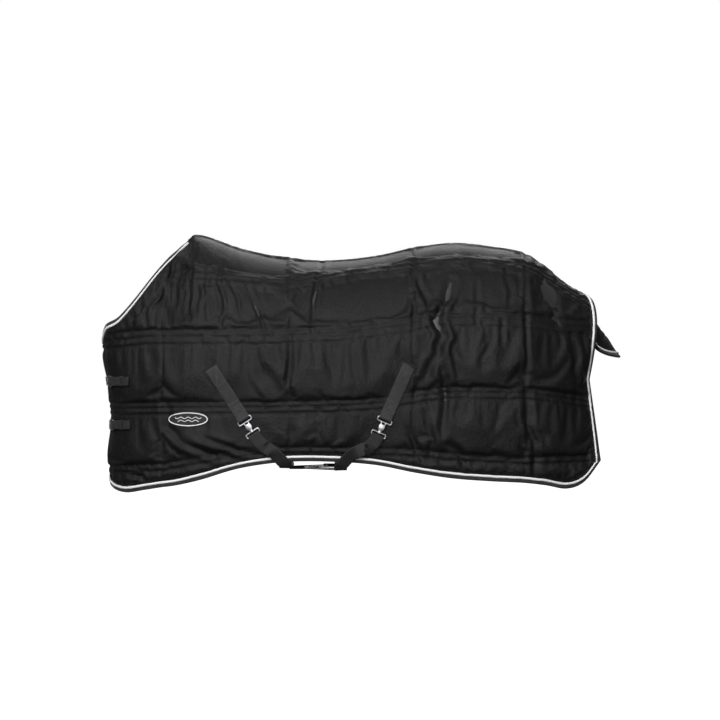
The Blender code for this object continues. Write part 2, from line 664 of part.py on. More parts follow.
def side_route(side, bar_end, down, hem_x):
    """Points and heights of a belly strap on one side, from its clip's end to the hem."""
    start = Vector((bar_end.x, bar_end.z))
    control = start + Vector((down.x, down.z)).normalized() * 0.055
    finish = Vector((hem_x, HEM_ROUTE_Z))
    route = []
    for share in (0.22, 0.48, 0.74, 0.93):
        spot = start * (1.0 - share) ** 2 + control * (2.0 * share * (1.0 - share)) + finish * share ** 2
        on_cloth, normal = on_side(side, spot.x, spot.y)
        lift = WEB_SEAT + (HEM_CLEARANCE - WEB_SEAT) * min(1.0, share / 0.5)
        route.append((on_cloth, normal, lift))
    return route


def belly_strap(name, near_tab, far_tab, lean, drop):
    """A strap from its loop on the near side, under the belly, to where it is sewn on the far side.

    Its inner layer runs the whole way. Its outer layer is the same webbing turned back from the
    loop, through the adjuster, to its free end.
    """
    bar, across, down, up = clip_frame(NEAR, *near_tab)
    loop_bar = bar + down * (held_bar_offset() + CLIP_SPAN)
    level = BELLY_Z - drop
    half_layer = WEB_THICKNESS / 2.0
    near_hem_x, far_hem_x = CROSSING_X - lean * STRAP_SPREAD, CROSSING_X + lean * STRAP_SPREAD
    near_route = side_route(NEAR, loop_bar, down, near_hem_x)
    inner, outer, ups = [], [], []
    for spot, normal, lift in near_route:
        inner.append(spot + normal * (lift + half_layer))
        outer.append(inner[-1] + normal * LAYER_STEP)
        ups.append(normal)
    hem_out = NEAR * (abs(near_route[-1][0].y) + 0.002)
    inner.append(Vector((near_hem_x, hem_out, HEM_TURN_Z - drop * 0.6)))
    ups.append(Vector((0.0, NEAR * 0.60, -0.80)))
    outer.append(inner[-1] + ups[-1] * LAYER_STEP)
    belly_up = Vector((0.0, 0.0, -1.0))
    for y in (-BELLY_HALF, BELLY_HALF):
        x = CROSSING_X + lean * STRAP_SPREAD * y / BELLY_HALF
        inner.append(Vector((x, y, level)))
        ups.append(belly_up)
    outer.append(inner[-2] + belly_up * LAYER_STEP)
    tail_y = ADJUSTER_Y + RETURN_TAIL
    outer.append(Vector((CROSSING_X + lean * STRAP_SPREAD * tail_y / BELLY_HALF, tail_y,
                         level - LAYER_STEP)))
    far_bar, _, far_down, _ = clip_frame(FAR, *far_tab)
    far_route = list(reversed(side_route(FAR, far_bar, far_down, far_hem_x)))
    far_out = FAR * (abs(far_route[0][0].y) + 0.002)
    inner.append(Vector((far_hem_x, far_out, HEM_TURN_Z - drop * 0.6)))
    ups.append(Vector((0.0, FAR * 0.60, -0.80)))
    for spot, normal, lift in far_route:
        inner.append(spot + normal * (lift + half_layer))
        ups.append(normal)
    outer_run = through_points(list(reversed(outer)), list(reversed(ups[:len(outer)])), WEB_WIDTH,
                               Vector((1.0, 0.0, 0.0)))
    half = aligned(across, outer_run[-1][1]) * (WEB_WIDTH / 2.0)
    turn = bar_turn(loop_bar, -down, up, half)
    inner_run = through_points(inner, ups, WEB_WIDTH, half)
    inner_run = [(centre, reach, -rise) for centre, reach, rise in inner_run]
    turn = [(centre, reach, rise) for centre, reach, rise in reversed(turn)]
    sewn = []
    start, finish = Vector(far_tab[0]), Vector(far_tab[1])
    heading = (finish - start).normalized()
    guide = inner_run[-1][1]
    sewn_height = PATCH_SEAT + PATCH_THICKNESS + 2.0 * GAP + half_layer
    for share in (1.0, 0.75, 0.5, 0.25, 0.0):
        spot = blended(start, finish, share)
        centre, reach, rise = laid_station(FAR, spot, heading, sewn_height, WEB_WIDTH, guide)
        sewn.append((centre, reach, -rise))
    return ribbon(name, outer_run + turn + inner_run + sewn, WEB_THICKNESS, (WEBBING, 0.7, 0.0))


def extruded(name, outlines, matrix, depth, surface, origin=None):
    """A flat outline with its holes, extruded both ways along the matrix's Z axis."""
    curve = bpy.data.curves.new(name + "_outline", "CURVE")
    curve.dimensions = "2D"
    curve.fill_mode = "BOTH"
    curve.extrude = depth / 2.0
    for outline in outlines:
        spline = curve.splines.new("POLY")
        spline.points.add(len(outline) - 1)
        for point, (x, y) in zip(spline.points, outline):
            point.co = (x, y, 0.0, 1.0)
        spline.use_cyclic_u = True
    guide = bpy.data.objects.new(name + "_guide", curve)
    PARTS.objects.link(guide)
    bpy.context.view_layer.update()
    mesh = bpy.data.meshes.new_from_object(guide.evaluated_get(bpy.context.evaluated_depsgraph_get()))
    bpy.data.objects.remove(guide)
    bpy.data.curves.remove(curve)
    shape = bmesh.new()
    shape.from_mesh(mesh)
    bmesh.ops.remove_doubles(shape, verts=shape.verts, dist=0.00005)
    bmesh.ops.transform(shape, matrix=matrix, verts=shape.verts)
    bmesh.ops.recalc_face_normals(shape, faces=shape.faces)
    shape.to_mesh(mesh)
    shape.free()
    mesh.materials.clear()
    return place(mesh, name, surface, origin)


def box_outline(centre_y, width, height):
    """A rectangle's corners, centred on X = 0."""
    x, y = width / 2.0, height / 2.0
    return ((-x, centre_y - y), (x, centre_y - y), (x, centre_y + y), (-x, centre_y + y))


def adjuster(name, lean, drop):
    """The slide that joins a belly strap's two layers, on the far half of its level run."""
    heading = Vector((lean * STRAP_SPREAD / BELLY_HALF, 1.0, 0.0)).normalized()
    up = Vector((0.0, 0.0, -1.0))
    across = up.cross(heading)
    centre = Vector((CROSSING_X + lean * STRAP_SPREAD * ADJUSTER_Y / BELLY_HALF, ADJUSTER_Y,
                     BELLY_Z - drop - LAYER_STEP / 2.0))
    slot_width = WEB_WIDTH + 2.0 * CLIP_SIDE_GAP
    slot_height = WEB_THICKNESS + 2.0 * ADJUSTER_PLAY
    outer_height = LAYER_STEP + slot_height + 2.0 * ADJUSTER_WALL
    outlines = (box_outline(0.0, slot_width + 2.0 * ADJUSTER_WALL, outer_height),
                box_outline(-LAYER_STEP / 2.0, slot_width, slot_height),
                box_outline(LAYER_STEP / 2.0, slot_width, slot_height))
    matrix = own_axes(centre, across, up, heading)
    return extruded(name, outlines, matrix, ADJUSTER_LENGTH, (STEEL, 0.3, 1.0), origin=centre)


# ---------------------------------------------------------------- chest straps

def chest_station(angle, z, height):
    """A ribbon station of a chest strap, at a height over the cloth."""
    low, low_up = on_chest(angle, z - CHEST_WEB_WIDTH / 2.0)
    high, high_up = on_chest(angle, z + CHEST_WEB_WIDTH / 2.0)
    half = (high - low) / 2.0
    up = low_up + high_up
    up = (up - half * (up.dot(half) / half.length_squared)).normalized()
    return (low + high) / 2.0 + up * height, half, up


def buckle_axes(z, angle=BUCKLE_ANGLE, reach=9.5):
    """A chest fitting's own axes: X up the rug, Y towards the chest, Z off the cloth."""
    spot, half, _ = chest_station(angle, z, 0.0)
    ahead, _, _ = chest_station(angle - reach, z, 0.0)
    upright = half.normalized()
    forward = ahead - spot
    forward = (forward - upright * forward.dot(upright)).normalized()
    return spot, upright, forward, upright.cross(forward)


def heel_bar(z):
    """The middle of a buckle's heel bar, and the buckle's own axes."""
    spot, upright, forward, up = buckle_axes(z)
    return spot + up * (BAR_HEIGHT + BUCKLE_LIFT), upright, forward, up


def billet(name, z):
    """The strap from the far flap over the near one, under the buckle's front bar and over its heel."""
    bar, upright, forward, up = heel_bar(z)
    low = CHEST_SEAT + WEB_THICKNESS / 2.0
    stations = [chest_station(angle, z, height) for angle, height in BILLET_ROUTE]
    half = upright * (CHEST_WEB_WIDTH / 2.0)
    under = bar - up * (BAR_THICKNESS / 2.0 + GAP + WEB_THICKNESS / 2.0)
    over = TURN_RADIUS + WEB_THICKNESS + 2.0 * GAP
    stations.append((under + forward * (BUCKLE_SPAN + 0.004), half, up))
    stations.append((under + forward * (BUCKLE_SPAN - 0.004), half, up))
    stations.append((bar + up * over + forward * 0.004, half, up))
    stations.append((bar + up * over - forward * 0.006, half, up))
    top = low + 2.0 * (WEB_THICKNESS + GAP) + GAP
    for share in (0.40, 0.58, 0.75, 0.92, 1.08, 1.25):
        stations.append(chest_station(BUCKLE_ANGLE + CHAPE_ANGLE * share, z, top))
    made = ribbon(name, stations, WEB_THICKNESS, (WEBBING, 0.7, 0.0))
    middle = (HOLE_START + HOLE_END) / 2.0
    hole = extruded(name + "_hole", (box_outline(0.0, HOLE_WIDTH, HOLE_END - HOLE_START),),
                    own_axes(bar + forward * middle, upright, forward, up), 0.06, (WEBBING, 0.7, 0.0))
    combine(made, hole, "DIFFERENCE")
    return made


def chape(name, z):
    """The short strap that holds the buckle, folded round its heel bar and slotted for the tongue."""
    bar, upright, forward, up = heel_bar(z)
    low = CHEST_SEAT + WEB_THICKNESS / 2.0
    high = low + WEB_THICKNESS + GAP
    half = upright * (CHEST_WEB_WIDTH / 2.0)
    shares = (1.0, 0.83, 0.66, 0.49, 0.32)
    stations = [chest_station(BUCKLE_ANGLE + CHAPE_ANGLE * share, z, low) for share in shares]
    stations = [(centre, reach, -rise) for centre, reach, rise in stations]
    stations += bar_turn(bar, forward, up, half)
    stations += [chest_station(BUCKLE_ANGLE + CHAPE_ANGLE * share, z, high)
                 for share in reversed(shares)]
    made = ribbon(name, stations, WEB_THICKNESS, (WEBBING, 0.7, 0.0))
    slot = extruded(name + "_slot", (box_outline(0.0, TONGUE_SLOT, 0.016),),
                    own_axes(bar + forward * 0.003, upright, forward, up), 0.03, (WEBBING, 0.7, 0.0))
    combine(made, slot, "DIFFERENCE")
    return made


def buckle(name, z):
    """A chest buckle's frame."""
    bar, upright, forward, up = heel_bar(z)
    width = CHEST_WEB_WIDTH + 2.0 * CLIP_SIDE_GAP + BAR_WIDTH
    return rect_loop(name, width, BUCKLE_SPAN, own_axes(bar, upright, forward, up), (STEEL, 0.25, 1.0),
                     origin=bar)


def tongue(name, z):
    """A buckle's tongue: an eye round the heel bar, and a rod whose tip rests on the front bar."""
    bar, upright, forward, up = heel_bar(z)
    matrix = own_axes(bar, upright, forward, up)
    steel = (STEEL, 0.25, 1.0)
    inner, outer, half = BAR_RADIUS + BAR_PLAY, BAR_RADIUS + BAR_PLAY + 0.0016, 0.0026
    rings = []
    for radius in (outer, inner):
        rings.append([(radius * math.cos(math.radians(a)), radius * math.sin(math.radians(a)))
                      for a in range(0, 360, 30)])
    eye_axes = matrix @ Matrix(((0, 0, 1, 0), (1, 0, 0, 0), (0, 1, 0, 0), (0, 0, 0, 1)))
    made = extruded(name, rings, eye_axes, 2.0 * half, steel, origin=bar)
    rest = BAR_THICKNESS / 2.0 + TONGUE_RADIUS + GAP
    line = ((inner + 0.0007, 0.0), (outer + 0.002, 0.0006), (BUCKLE_SPAN * 0.55, rest + 0.0004),
            (BUCKLE_SPAN - 0.002, rest + 0.0004), (BUCKLE_SPAN + BAR_WIDTH / 2.0 + 0.0015, rest - 0.0004))
    sections = []
    for run, height in line:
        centre = Vector((0.0, run, height))
        sections.append([matrix @ (centre + Vector((math.cos(a) * TONGUE_RADIUS * 1.2, 0.0,
                                                    math.sin(a) * TONGUE_RADIUS)))
                         for a in [math.radians(60.0 * k + 30.0) for k in range(6)]])
    combine(made, loft(name + "_rod", sections, steel), "UNION")
    return made


def keeper(name, z):
    """The loop that holds down the billet's end, sewn to the rug on both sides of the chape."""
    spot, upright, forward, up = buckle_axes(z, BUCKLE_ANGLE + CHAPE_ANGLE * 0.75, 1.5)
    inside = CHEST_WEB_WIDTH / 2.0 + KEEPER_PLAY
    roof = CHEST_SEAT + 3.0 * WEB_THICKNESS + 4.0 * GAP + KEEPER_PLAY
    foot = CHEST_SEAT * 0.6
    outline = ((-inside - KEEPER_WALL, foot), (-inside, foot), (-inside, roof), (inside, roof),
               (inside, foot), (inside + KEEPER_WALL, foot), (inside + KEEPER_WALL, roof + KEEPER_WALL),
               (-inside - KEEPER_WALL, roof + KEEPER_WALL))
    matrix = own_axes(spot, upright, up, forward)
    return extruded(name, (outline,), matrix, KEEPER_LENGTH, (WEBBING, 0.7, 0.0))


# ---------------------------------------------------------------- tail flap and badge

def flap_point(run, share):
    """A point on the tail flap's underside: run down it, and share of its half width outward."""
    round_start = FLAP_LENGTH - FLAP_HALF_WIDTH
    widening = min(1.0, run / round_start)
    half = FLAP_ROOT_HALF + (FLAP_HALF_WIDTH - FLAP_ROOT_HALF) * math.sin(widening * math.pi / 2.0)
    if run > round_start:
        past = min(0.97, (run - round_start) / FLAP_HALF_WIDTH)
        half = FLAP_HALF_WIDTH * math.sqrt(1.0 - past * past)
    out = half * share
    droop = FLAP_DEPTH * (out / FLAP_HALF_WIDTH) ** 2
    return FLAP_ROOT + FLAP_DOWN * run + Vector((0.0, out, 0.0)) - FLAP_OUT * droop


def flap_rows():
    """Rows of points over the tail flap, from its root to its rounded end."""
    runs = [FLAP_LENGTH * share for share in (0.0, 0.12, 0.25, 0.40, 0.55, 0.70, 0.82, 0.91, 0.97)]
    return [[flap_point(run, share / 4.0) for share in range(-4, 5)] for run in runs]


def tail_flap():
    """The padded flap and the tape and bead round its free edge."""
    rows = flap_rows()
    mesh = grid_mesh("tail_flap", rows)
    mesh.update()
    normals = [vertex.normal.copy() for vertex in mesh.vertices]
    width = len(rows[0])
    sign = 1.0 if normals[len(normals) // 2].x > 0.0 else -1.0
    if sign < 0.0:
        mesh.flip_normals()
    normals = [[normals[i * width + j] * sign for j in range(width)] for i in range(len(rows))]
    made = place(mesh, "tail_flap", (CLOTH, 0.5, 0.0), origin=FLAP_ROOT + FLAP_OUT * FLAP_THICKNESS)
    shell = made.modifiers.new("Thickness", "SOLIDIFY")
    shell.thickness = FLAP_THICKNESS
    shell.offset = 1.0
    shell.use_even_offset = False
    last, edge = len(rows) - 1, width - 1
    middle = edge // 2
    path = [(i, 0, i, 1) for i in range(1, last)]
    path += [(last, middle + step, last - 2, middle + (step > 0) - (step < 0))
             for step in range(-middle, middle + 1, 2)]
    path += [(i, edge, i, edge - 1) for i in range(last - 1, 0, -1)]
    stations = edge_stations(rows, normals, path)
    binding("tail_flap_binding", stations, FLAP_THICKNESS, FLAP_TIP_GAP)
    piping("tail_flap_piping", stations, FLAP_THICKNESS, FLAP_TIP_GAP)


def spine_point(rows, x):
    """The point of the underside's ridge at a place along the rug."""
    ridge = [Vector((row[0].x, 0.0, row[0].z)) for row in rows[GRID_MANE:]]
    for first, second in zip(ridge, ridge[1:]):
        if x <= second.x:
            break
    return blended(first, second, (x - first.x) / (second.x - first.x))


def flap_strip(rows):
    """The strip under the spine's end that the tail flap hangs from."""
    half = Vector((0.0, FLAP_ROOT_HALF * 0.5, 0.0))
    top = FLAP_ROOT + FLAP_OUT * (FLAP_THICKNESS - FLAP_STRIP_THICKNESS / 2.0)
    first = spine_point(rows, FLAP_ROOT.x - FLAP_STRIP_LENGTH)
    second = spine_point(rows, FLAP_ROOT.x - FLAP_STRIP_TURN)
    slope = (second - first).normalized()
    rise = Vector((-slope.z, 0.0, slope.x))
    stations = [(first - rise * FLAP_STRIP_DROP, half, rise), (second - rise * FLAP_STRIP_DROP, half, rise),
                (top - FLAP_DOWN * (FLAP_STRIP_TURN * 0.4), half, FLAP_OUT),
                (top - FLAP_DOWN * (2.0 * GAP), half, FLAP_OUT)]
    return ribbon("tail_flap_strip", stations, FLAP_STRIP_THICKNESS, (WEBBING, 0.7, 0.0))


def badge():
    """The oval badge sewn low on the near shoulder, and its raised rim."""
    x, z = BADGE_CENTRE
    spot, normal = on_side(NEAR, x, z)
    level = Vector((1.0, 0.0, 0.0))
    level = (level - normal * level.dot(normal)).normalized()
    rise = aligned(normal.cross(level), Vector((0.0, 0.0, 1.0)))
    turns = [math.radians(15.0 * k) for k in range(24)]
    oval = [(BADGE_HALF_LENGTH * math.cos(a), BADGE_HALF_HEIGHT * math.sin(a)) for a in turns]
    outer, inner = BADGE_HALF_LENGTH - 0.0035, BADGE_HALF_HEIGHT - 0.0035
    rim = [[(long * math.cos(a), short * math.sin(a)) for a in turns]
           for long, short in ((outer, inner), (outer - BADGE_RIM, inner - BADGE_RIM))]
    face = spot + normal * (BADGE_SEAT + BADGE_THICKNESS / 2.0)
    extruded("badge", (oval,), own_axes(face, level, rise, normal), BADGE_THICKNESS, (CLOTH, 0.6, 0.0))
    lip = face + normal * (BADGE_THICKNESS / 2.0 + GAP + BADGE_RIM_HEIGHT / 2.0)
    extruded("badge_rim", rim, own_axes(lip, level, rise, normal), BADGE_RIM_HEIGHT, (WHITE, 0.6, 0.0))


def belly_straps_and_clips():
    """Both clips of the near side, the crossed straps, their adjusters and the sewn patches."""
    tabs = {"front": (FRONT_TAB_TOP, FRONT_TAB_END), "rear": (REAR_TAB_TOP, REAR_TAB_END)}
    for word, other, lean, drop in (("front", "rear", 1.0, 0.0), ("rear", "front", -1.0, STRAP_STACK)):
        top, end = tabs[word]
        surcingle_tab(word + "_surcingle_tab", NEAR, top, end)
        surcingle_hook(word + "_hook", NEAR, top, end)
        surcingle_loop(word + "_loop", NEAR, top, end)
        belly_strap(word + "_belly_strap", tabs[word], tabs[other], lean, drop)
        adjuster(word + "_adjuster", lean, drop)
        heading = (Vector(end) - Vector(top)).normalized()
        first = Vector(top) - heading * PATCH_MARGIN
        for side_word, side in (("near", NEAR), ("far", FAR)):
            lay_strip(f"{side_word}_{word}_patch", side, first, first + heading * PATCH_LENGTH,
                      WEB_WIDTH + 2.0 * PATCH_MARGIN, PATCH_THICKNESS, PATCH_SEAT, (CLOTH, 0.6, 0.0))


def chest_straps():
    """The two buckled straps across the chest."""
    for word, z in CHEST_HEIGHTS:
        billet(word + "_chest_strap", z)
        chape(word + "_chape", z)
        buckle(word + "_buckle", z)
        tongue(word + "_tongue", z)
        keeper(word + "_keeper", z)


for leftover in list(bpy.data.objects):
    bpy.data.objects.remove(leftover, do_unlink=True)
PARTS = new_collection("turnout_rug")
CUTTERS = new_collection("cutters")

near_rows, far_rows = panel_grid(NEAR), panel_grid(FAR)
near_cloth = side_panel("near", NEAR, near_rows)
far_cloth = side_panel("far", FAR, far_rows)
bpy.context.view_layer.update()
SKIN = surface_tree((near_cloth, far_cloth))
near_normals, far_normals = vertex_normals(near_rows, NEAR), vertex_normals(far_rows, FAR)
panel_edges("near", near_rows, near_normals)
panel_edges("far", far_rows, far_normals)
spine_piping(far_rows, far_normals)
belly_straps_and_clips()
chest_straps()
tail_flap()
flap_strip(far_rows)
badge()
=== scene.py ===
"""Looks of a quilted turnout rug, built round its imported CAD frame.

Metres, +Z up, +X towards the tail, near side -Y. The rug is shown as worn, filled out to a standing
horse's shape. Each sub-assembly is a class that holds its own sizes, builds its meshes and dresses them.
"""
import json
import logging
import math
from dataclasses import dataclass, field
from enum import Enum
from typing import Iterable, Sequence

import bpy
import numpy as np
from mathutils import Matrix, Vector
from mathutils.bvhtree import BVHTree


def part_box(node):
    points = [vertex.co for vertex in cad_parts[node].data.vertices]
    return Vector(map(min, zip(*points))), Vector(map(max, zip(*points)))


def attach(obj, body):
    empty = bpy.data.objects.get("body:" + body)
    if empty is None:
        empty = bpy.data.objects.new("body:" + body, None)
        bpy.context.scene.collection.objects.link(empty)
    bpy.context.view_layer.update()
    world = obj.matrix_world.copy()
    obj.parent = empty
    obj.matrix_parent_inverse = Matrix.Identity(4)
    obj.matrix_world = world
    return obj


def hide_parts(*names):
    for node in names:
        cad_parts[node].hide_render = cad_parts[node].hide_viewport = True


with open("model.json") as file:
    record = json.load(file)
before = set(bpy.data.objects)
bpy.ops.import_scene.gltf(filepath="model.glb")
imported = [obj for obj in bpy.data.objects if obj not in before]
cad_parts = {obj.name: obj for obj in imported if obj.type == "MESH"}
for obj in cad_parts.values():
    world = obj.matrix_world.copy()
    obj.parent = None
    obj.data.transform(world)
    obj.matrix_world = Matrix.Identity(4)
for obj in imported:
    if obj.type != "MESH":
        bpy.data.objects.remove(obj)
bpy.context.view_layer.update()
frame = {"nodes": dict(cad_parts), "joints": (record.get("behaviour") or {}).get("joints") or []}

LOG = logging.getLogger("turnout_rug")
MM = 0.001

Material, Object = bpy.types.Material, bpy.types.Object
NodeTree, NodeSocket = bpy.types.NodeTree, bpy.types.NodeSocket
Grid = np.ndarray
Station = tuple[Vector, Vector, Vector]


class Side(Enum):
    """The two halves of the rug, valued by the direction of their outward Y."""

    NEAR = -1.0
    FAR = 1.0

    @property
    def word(self) -> str:
        """The side's name as pieces use it."""
        return self.name.lower()


class Edge(Enum):
    """Which way a run along a panel's border heads inwards."""

    TOP = (0, 1)
    FRONT = (1, 0)
    HEM = (0, -1)
    REAR = (-1, 0)


# ------------------------------------------------------------------ colour and node helpers

def srgb(code: str) -> tuple[float, float, float, float]:
    """Turn an sRGB hex code into a linear colour.

    Args:
        code: Six hex digits, with or without a hash.

    Returns:
        Linear red, green and blue, and an alpha of 1.
    """
    digits = code.lstrip("#")
    linear = []
    for start in (0, 2, 4):
        value = int(digits[start:start + 2], 16) / 255.0
        linear.append(value / 12.92 if value <= 0.04045 else ((value + 0.055) / 1.055) ** 2.4)
    return linear[0], linear[1], linear[2], 1.0


def add_node(tree: NodeTree, kind: str, settings: dict | None = None,
             values: dict | None = None, links: dict | None = None) -> bpy.types.Node:
    """Add a shader node with its settings, socket values and incoming links.

    Args:
        tree: The material's node tree.
        kind: The node's Blender type name, without its ShaderNode prefix.
        settings: Attributes of the node.
        values: Default values by input name or index.
        links: Outputs to plug into inputs, by input name or index.

    Returns:
        The new node.
    """
    made = tree.nodes.new("ShaderNode" + kind)
    for name, value in (settings or {}).items():
        setattr(made, name, value)
    for name, value in (values or {}).items():
        made.inputs[name].default_value = value
    for name, output in (links or {}).items():
        tree.links.new(output, made.inputs[name])
    return made


def colour_ramp(tree: NodeTree, factor: NodeSocket, stops: Sequence[tuple[float, str]]) -> NodeSocket:
    """Add a colour ramp.

    Args:
        tree: The material's node tree.
        factor: What drives the ramp.
        stops: Positions and hex colours, in order.

    Returns:
        The ramp's colour output.
    """
    ramp = add_node(tree, "ValToRGB", links={"Fac": factor})
    for element, (place, code) in zip(ramp.color_ramp.elements, (stops[0], stops[-1])):
        element.position, element.color = place, srgb(code)
    for place, code in stops[1:-1]:
        ramp.color_ramp.elements.new(place).color = srgb(code)
    return ramp.outputs["Color"]


def bands_per_metre(spacing_mm: float) -> float:
    """The wave texture's scale that puts its bands this many millimetres apart."""
    return math.pi * 2.0 / (spacing_mm * MM) / 20.0


def blank_material(name: str) -> tuple[Material, NodeTree, bpy.types.Node]:
    """Make a material with only a Principled shader.

    Args:
        name: The finish's name.

    Returns:
        The material, its node tree and its Principled node.
    """
    made = bpy.data.materials.new(name)
    made.use_nodes = True
    return made, made.node_tree, made.node_tree.nodes["Principled BSDF"]


def raised(tree: NodeTree, shader: bpy.types.Node, height: NodeSocket, strength: float,
           distance: float) -> None:
    """Raise a pattern on a surface.

    Args:
        tree: The material's node tree.
        shader: Its Principled node.
        height: The pattern's height.
        strength: How strongly it shows.
        distance: Its height in metres.
    """
    bump = add_node(tree, "Bump", {}, {"Strength": strength, "Distance": distance}, {"Height": height})
    tree.links.new(bump.outputs["Normal"], shader.inputs["Normal"])


# ------------------------------------------------------------------ finishes

@dataclass(frozen=True)
class WovenPolyester:
    """Plain-woven polyester outer cloth, calendered: dark, with a soft gloss on its high places."""

    name: str = "woven_polyester"
    deep: str = "#0a0a0b"
    light: str = "#141415"
    worn: str = "#232325"
    thread_mm: float = 2.6
    roughness: float = 0.46
    sheen: float = 0.05
    specular: float = 0.27

    def material(self) -> Material:
        """The finish as a node material."""
        # Real threads lie about 0.5 mm apart: they are drawn at 2.6 mm, as coarse as they need to show.
        made, tree, shader = blank_material(self.name)
        uv = add_node(tree, "UVMap").outputs["UV"]
        threads = {"Scale": bands_per_metre(self.thread_mm), "Distortion": 0.6, "Detail": 1.0,
                   "Detail Scale": 2.0}
        warp, weft = (add_node(tree, "TexWave", {"bands_direction": way, "wave_profile": "SIN"}, threads,
                               {"Vector": uv}) for way in "XY")
        weave = add_node(tree, "Math", {"operation": "MULTIPLY"},
                         links={0: warp.outputs["Fac"], 1: weft.outputs["Fac"]})
        slubs = add_node(tree, "TexNoise", {}, {"Scale": 125.0, "Detail": 5.0, "Roughness": 0.72},
                         {"Vector": uv})
        crush = add_node(tree, "TexNoise", {}, {"Scale": 16.0, "Detail": 6.0, "Roughness": 0.62},
                         {"Vector": uv})
        patches = add_node(tree, "TexNoise", {}, {"Scale": 3.5, "Detail": 3.0, "Roughness": 0.55},
                           {"Vector": uv})
        tone = add_node(tree, "Mix", {"data_type": "FLOAT"}, {0: 0.7},
                        {2: patches.outputs["Fac"], 3: slubs.outputs["Fac"]})
        colour = colour_ramp(tree, tone.outputs[0],
                             ((0.36, self.deep), (0.5, self.light), (0.66, self.worn)))
        darker = add_node(tree, "Mix", {"data_type": "RGBA", "blend_type": "MULTIPLY"}, {0: 0.35},
                          {6: colour, 7: weave.outputs[0]})
        tree.links.new(darker.outputs[2], shader.inputs["Base Color"])
        gloss = add_node(tree, "MapRange", {}, {3: self.roughness - 0.07, 4: self.roughness + 0.12},
                         {0: crush.outputs["Fac"]})
        tree.links.new(gloss.outputs[0], shader.inputs["Roughness"])
        fine = add_node(tree, "Bump", {}, {"Strength": 0.35, "Distance": 0.0006},
                        {"Height": weave.outputs[0]})
        grain = add_node(tree, "Bump", {}, {"Strength": 0.85, "Distance": 0.0032},
                         {"Height": slubs.outputs["Fac"], "Normal": fine.outputs["Normal"]})
        creases = add_node(tree, "Bump", {}, {"Strength": 0.45, "Distance": 0.004},
                           {"Height": crush.outputs["Fac"], "Normal": grain.outputs["Normal"]})
        tree.links.new(creases.outputs["Normal"], shader.inputs["Normal"])
        shader.inputs["Sheen Weight"].default_value = self.sheen
        shader.inputs["Sheen Roughness"].default_value = 0.35
        shader.inputs["Sheen Tint"].default_value = srgb("#b8b8bc")
        shader.inputs["Specular IOR Level"].default_value = self.specular
        return made


@dataclass(frozen=True)
class NylonLining:
    """Smooth woven nylon lining: fine, even and slightly slippery to the eye."""

    name: str = "nylon_lining"
    deep: str = "#1d1d1f"
    light: str = "#2b2b2d"
    thread_mm: float = 3.0

    def material(self) -> Material:
        """The finish as a node material."""
        # Threads of 0.3 mm are drawn at 3 mm, or they would not show at all.
        made, tree, shader = blank_material(self.name)
        uv = add_node(tree, "UVMap").outputs["UV"]
        twill = add_node(tree, "TexWave", {"bands_direction": "DIAGONAL", "wave_profile": "SIN"},
                         {"Scale": bands_per_metre(self.thread_mm), "Distortion": 0.4}, {"Vector": uv})
        shade = add_node(tree, "TexNoise", {}, {"Scale": 9.0, "Detail": 5.0}, {"Vector": uv})
        colour = colour_ramp(tree, shade.outputs["Fac"], ((0.35, self.deep), (0.7, self.light)))
        tree.links.new(colour, shader.inputs["Base Color"])
        raised(tree, shader, twill.outputs["Fac"], 0.3, 0.0004)
        shader.inputs["Roughness"].default_value = 0.42
        shader.inputs["Sheen Weight"].default_value = 0.15
        return made


@dataclass(frozen=True)
class RibbedWebbing:
    """Polypropylene webbing, woven in ribs across its width, dull with faint bright rib crests."""

    name: str = "ribbed_webbing"
    deep: str = "#0d0d0e"
    light: str = "#1b1b1c"
    rib_mm: float = 2.4
    strength: float = 0.7

    def material(self) -> Material:
        """The finish as a node material."""
        # Ribs of 1.2 mm are drawn at 2.4 mm, as coarse as they need to show.
        made, tree, shader = blank_material(self.name)
        uv = add_node(tree, "UVMap").outputs["UV"]
        ribs = add_node(tree, "TexWave", {"bands_direction": "X", "wave_profile": "SIN"},
                        {"Scale": bands_per_metre(self.rib_mm), "Distortion": 0.3}, {"Vector": uv})
        picks = add_node(tree, "TexWave", {"bands_direction": "DIAGONAL", "wave_profile": "TRI"},
                         {"Scale": bands_per_metre(self.rib_mm * 0.8)}, {"Vector": uv})
        weave = add_node(tree, "Math", {"operation": "MULTIPLY"},
                         links={0: ribs.outputs["Fac"], 1: picks.outputs["Fac"]})
        dust = add_node(tree, "TexNoise", {}, {"Scale": 60.0, "Detail": 5.0}, {"Vector": uv})
        tone = add_node(tree, "Mix", {"data_type": "FLOAT"}, {0: 0.5},
                        {2: weave.outputs[0], 3: dust.outputs["Fac"]})
        colour = colour_ramp(tree, tone.outputs[0], ((0.15, self.deep), (0.75, self.light)))
        tree.links.new(colour, shader.inputs["Base Color"])
        raised(tree, shader, weave.outputs[0], self.strength, 0.0008)
        shader.inputs["Roughness"].default_value = 0.62
        shader.inputs["Sheen Weight"].default_value = 0.12
        return made


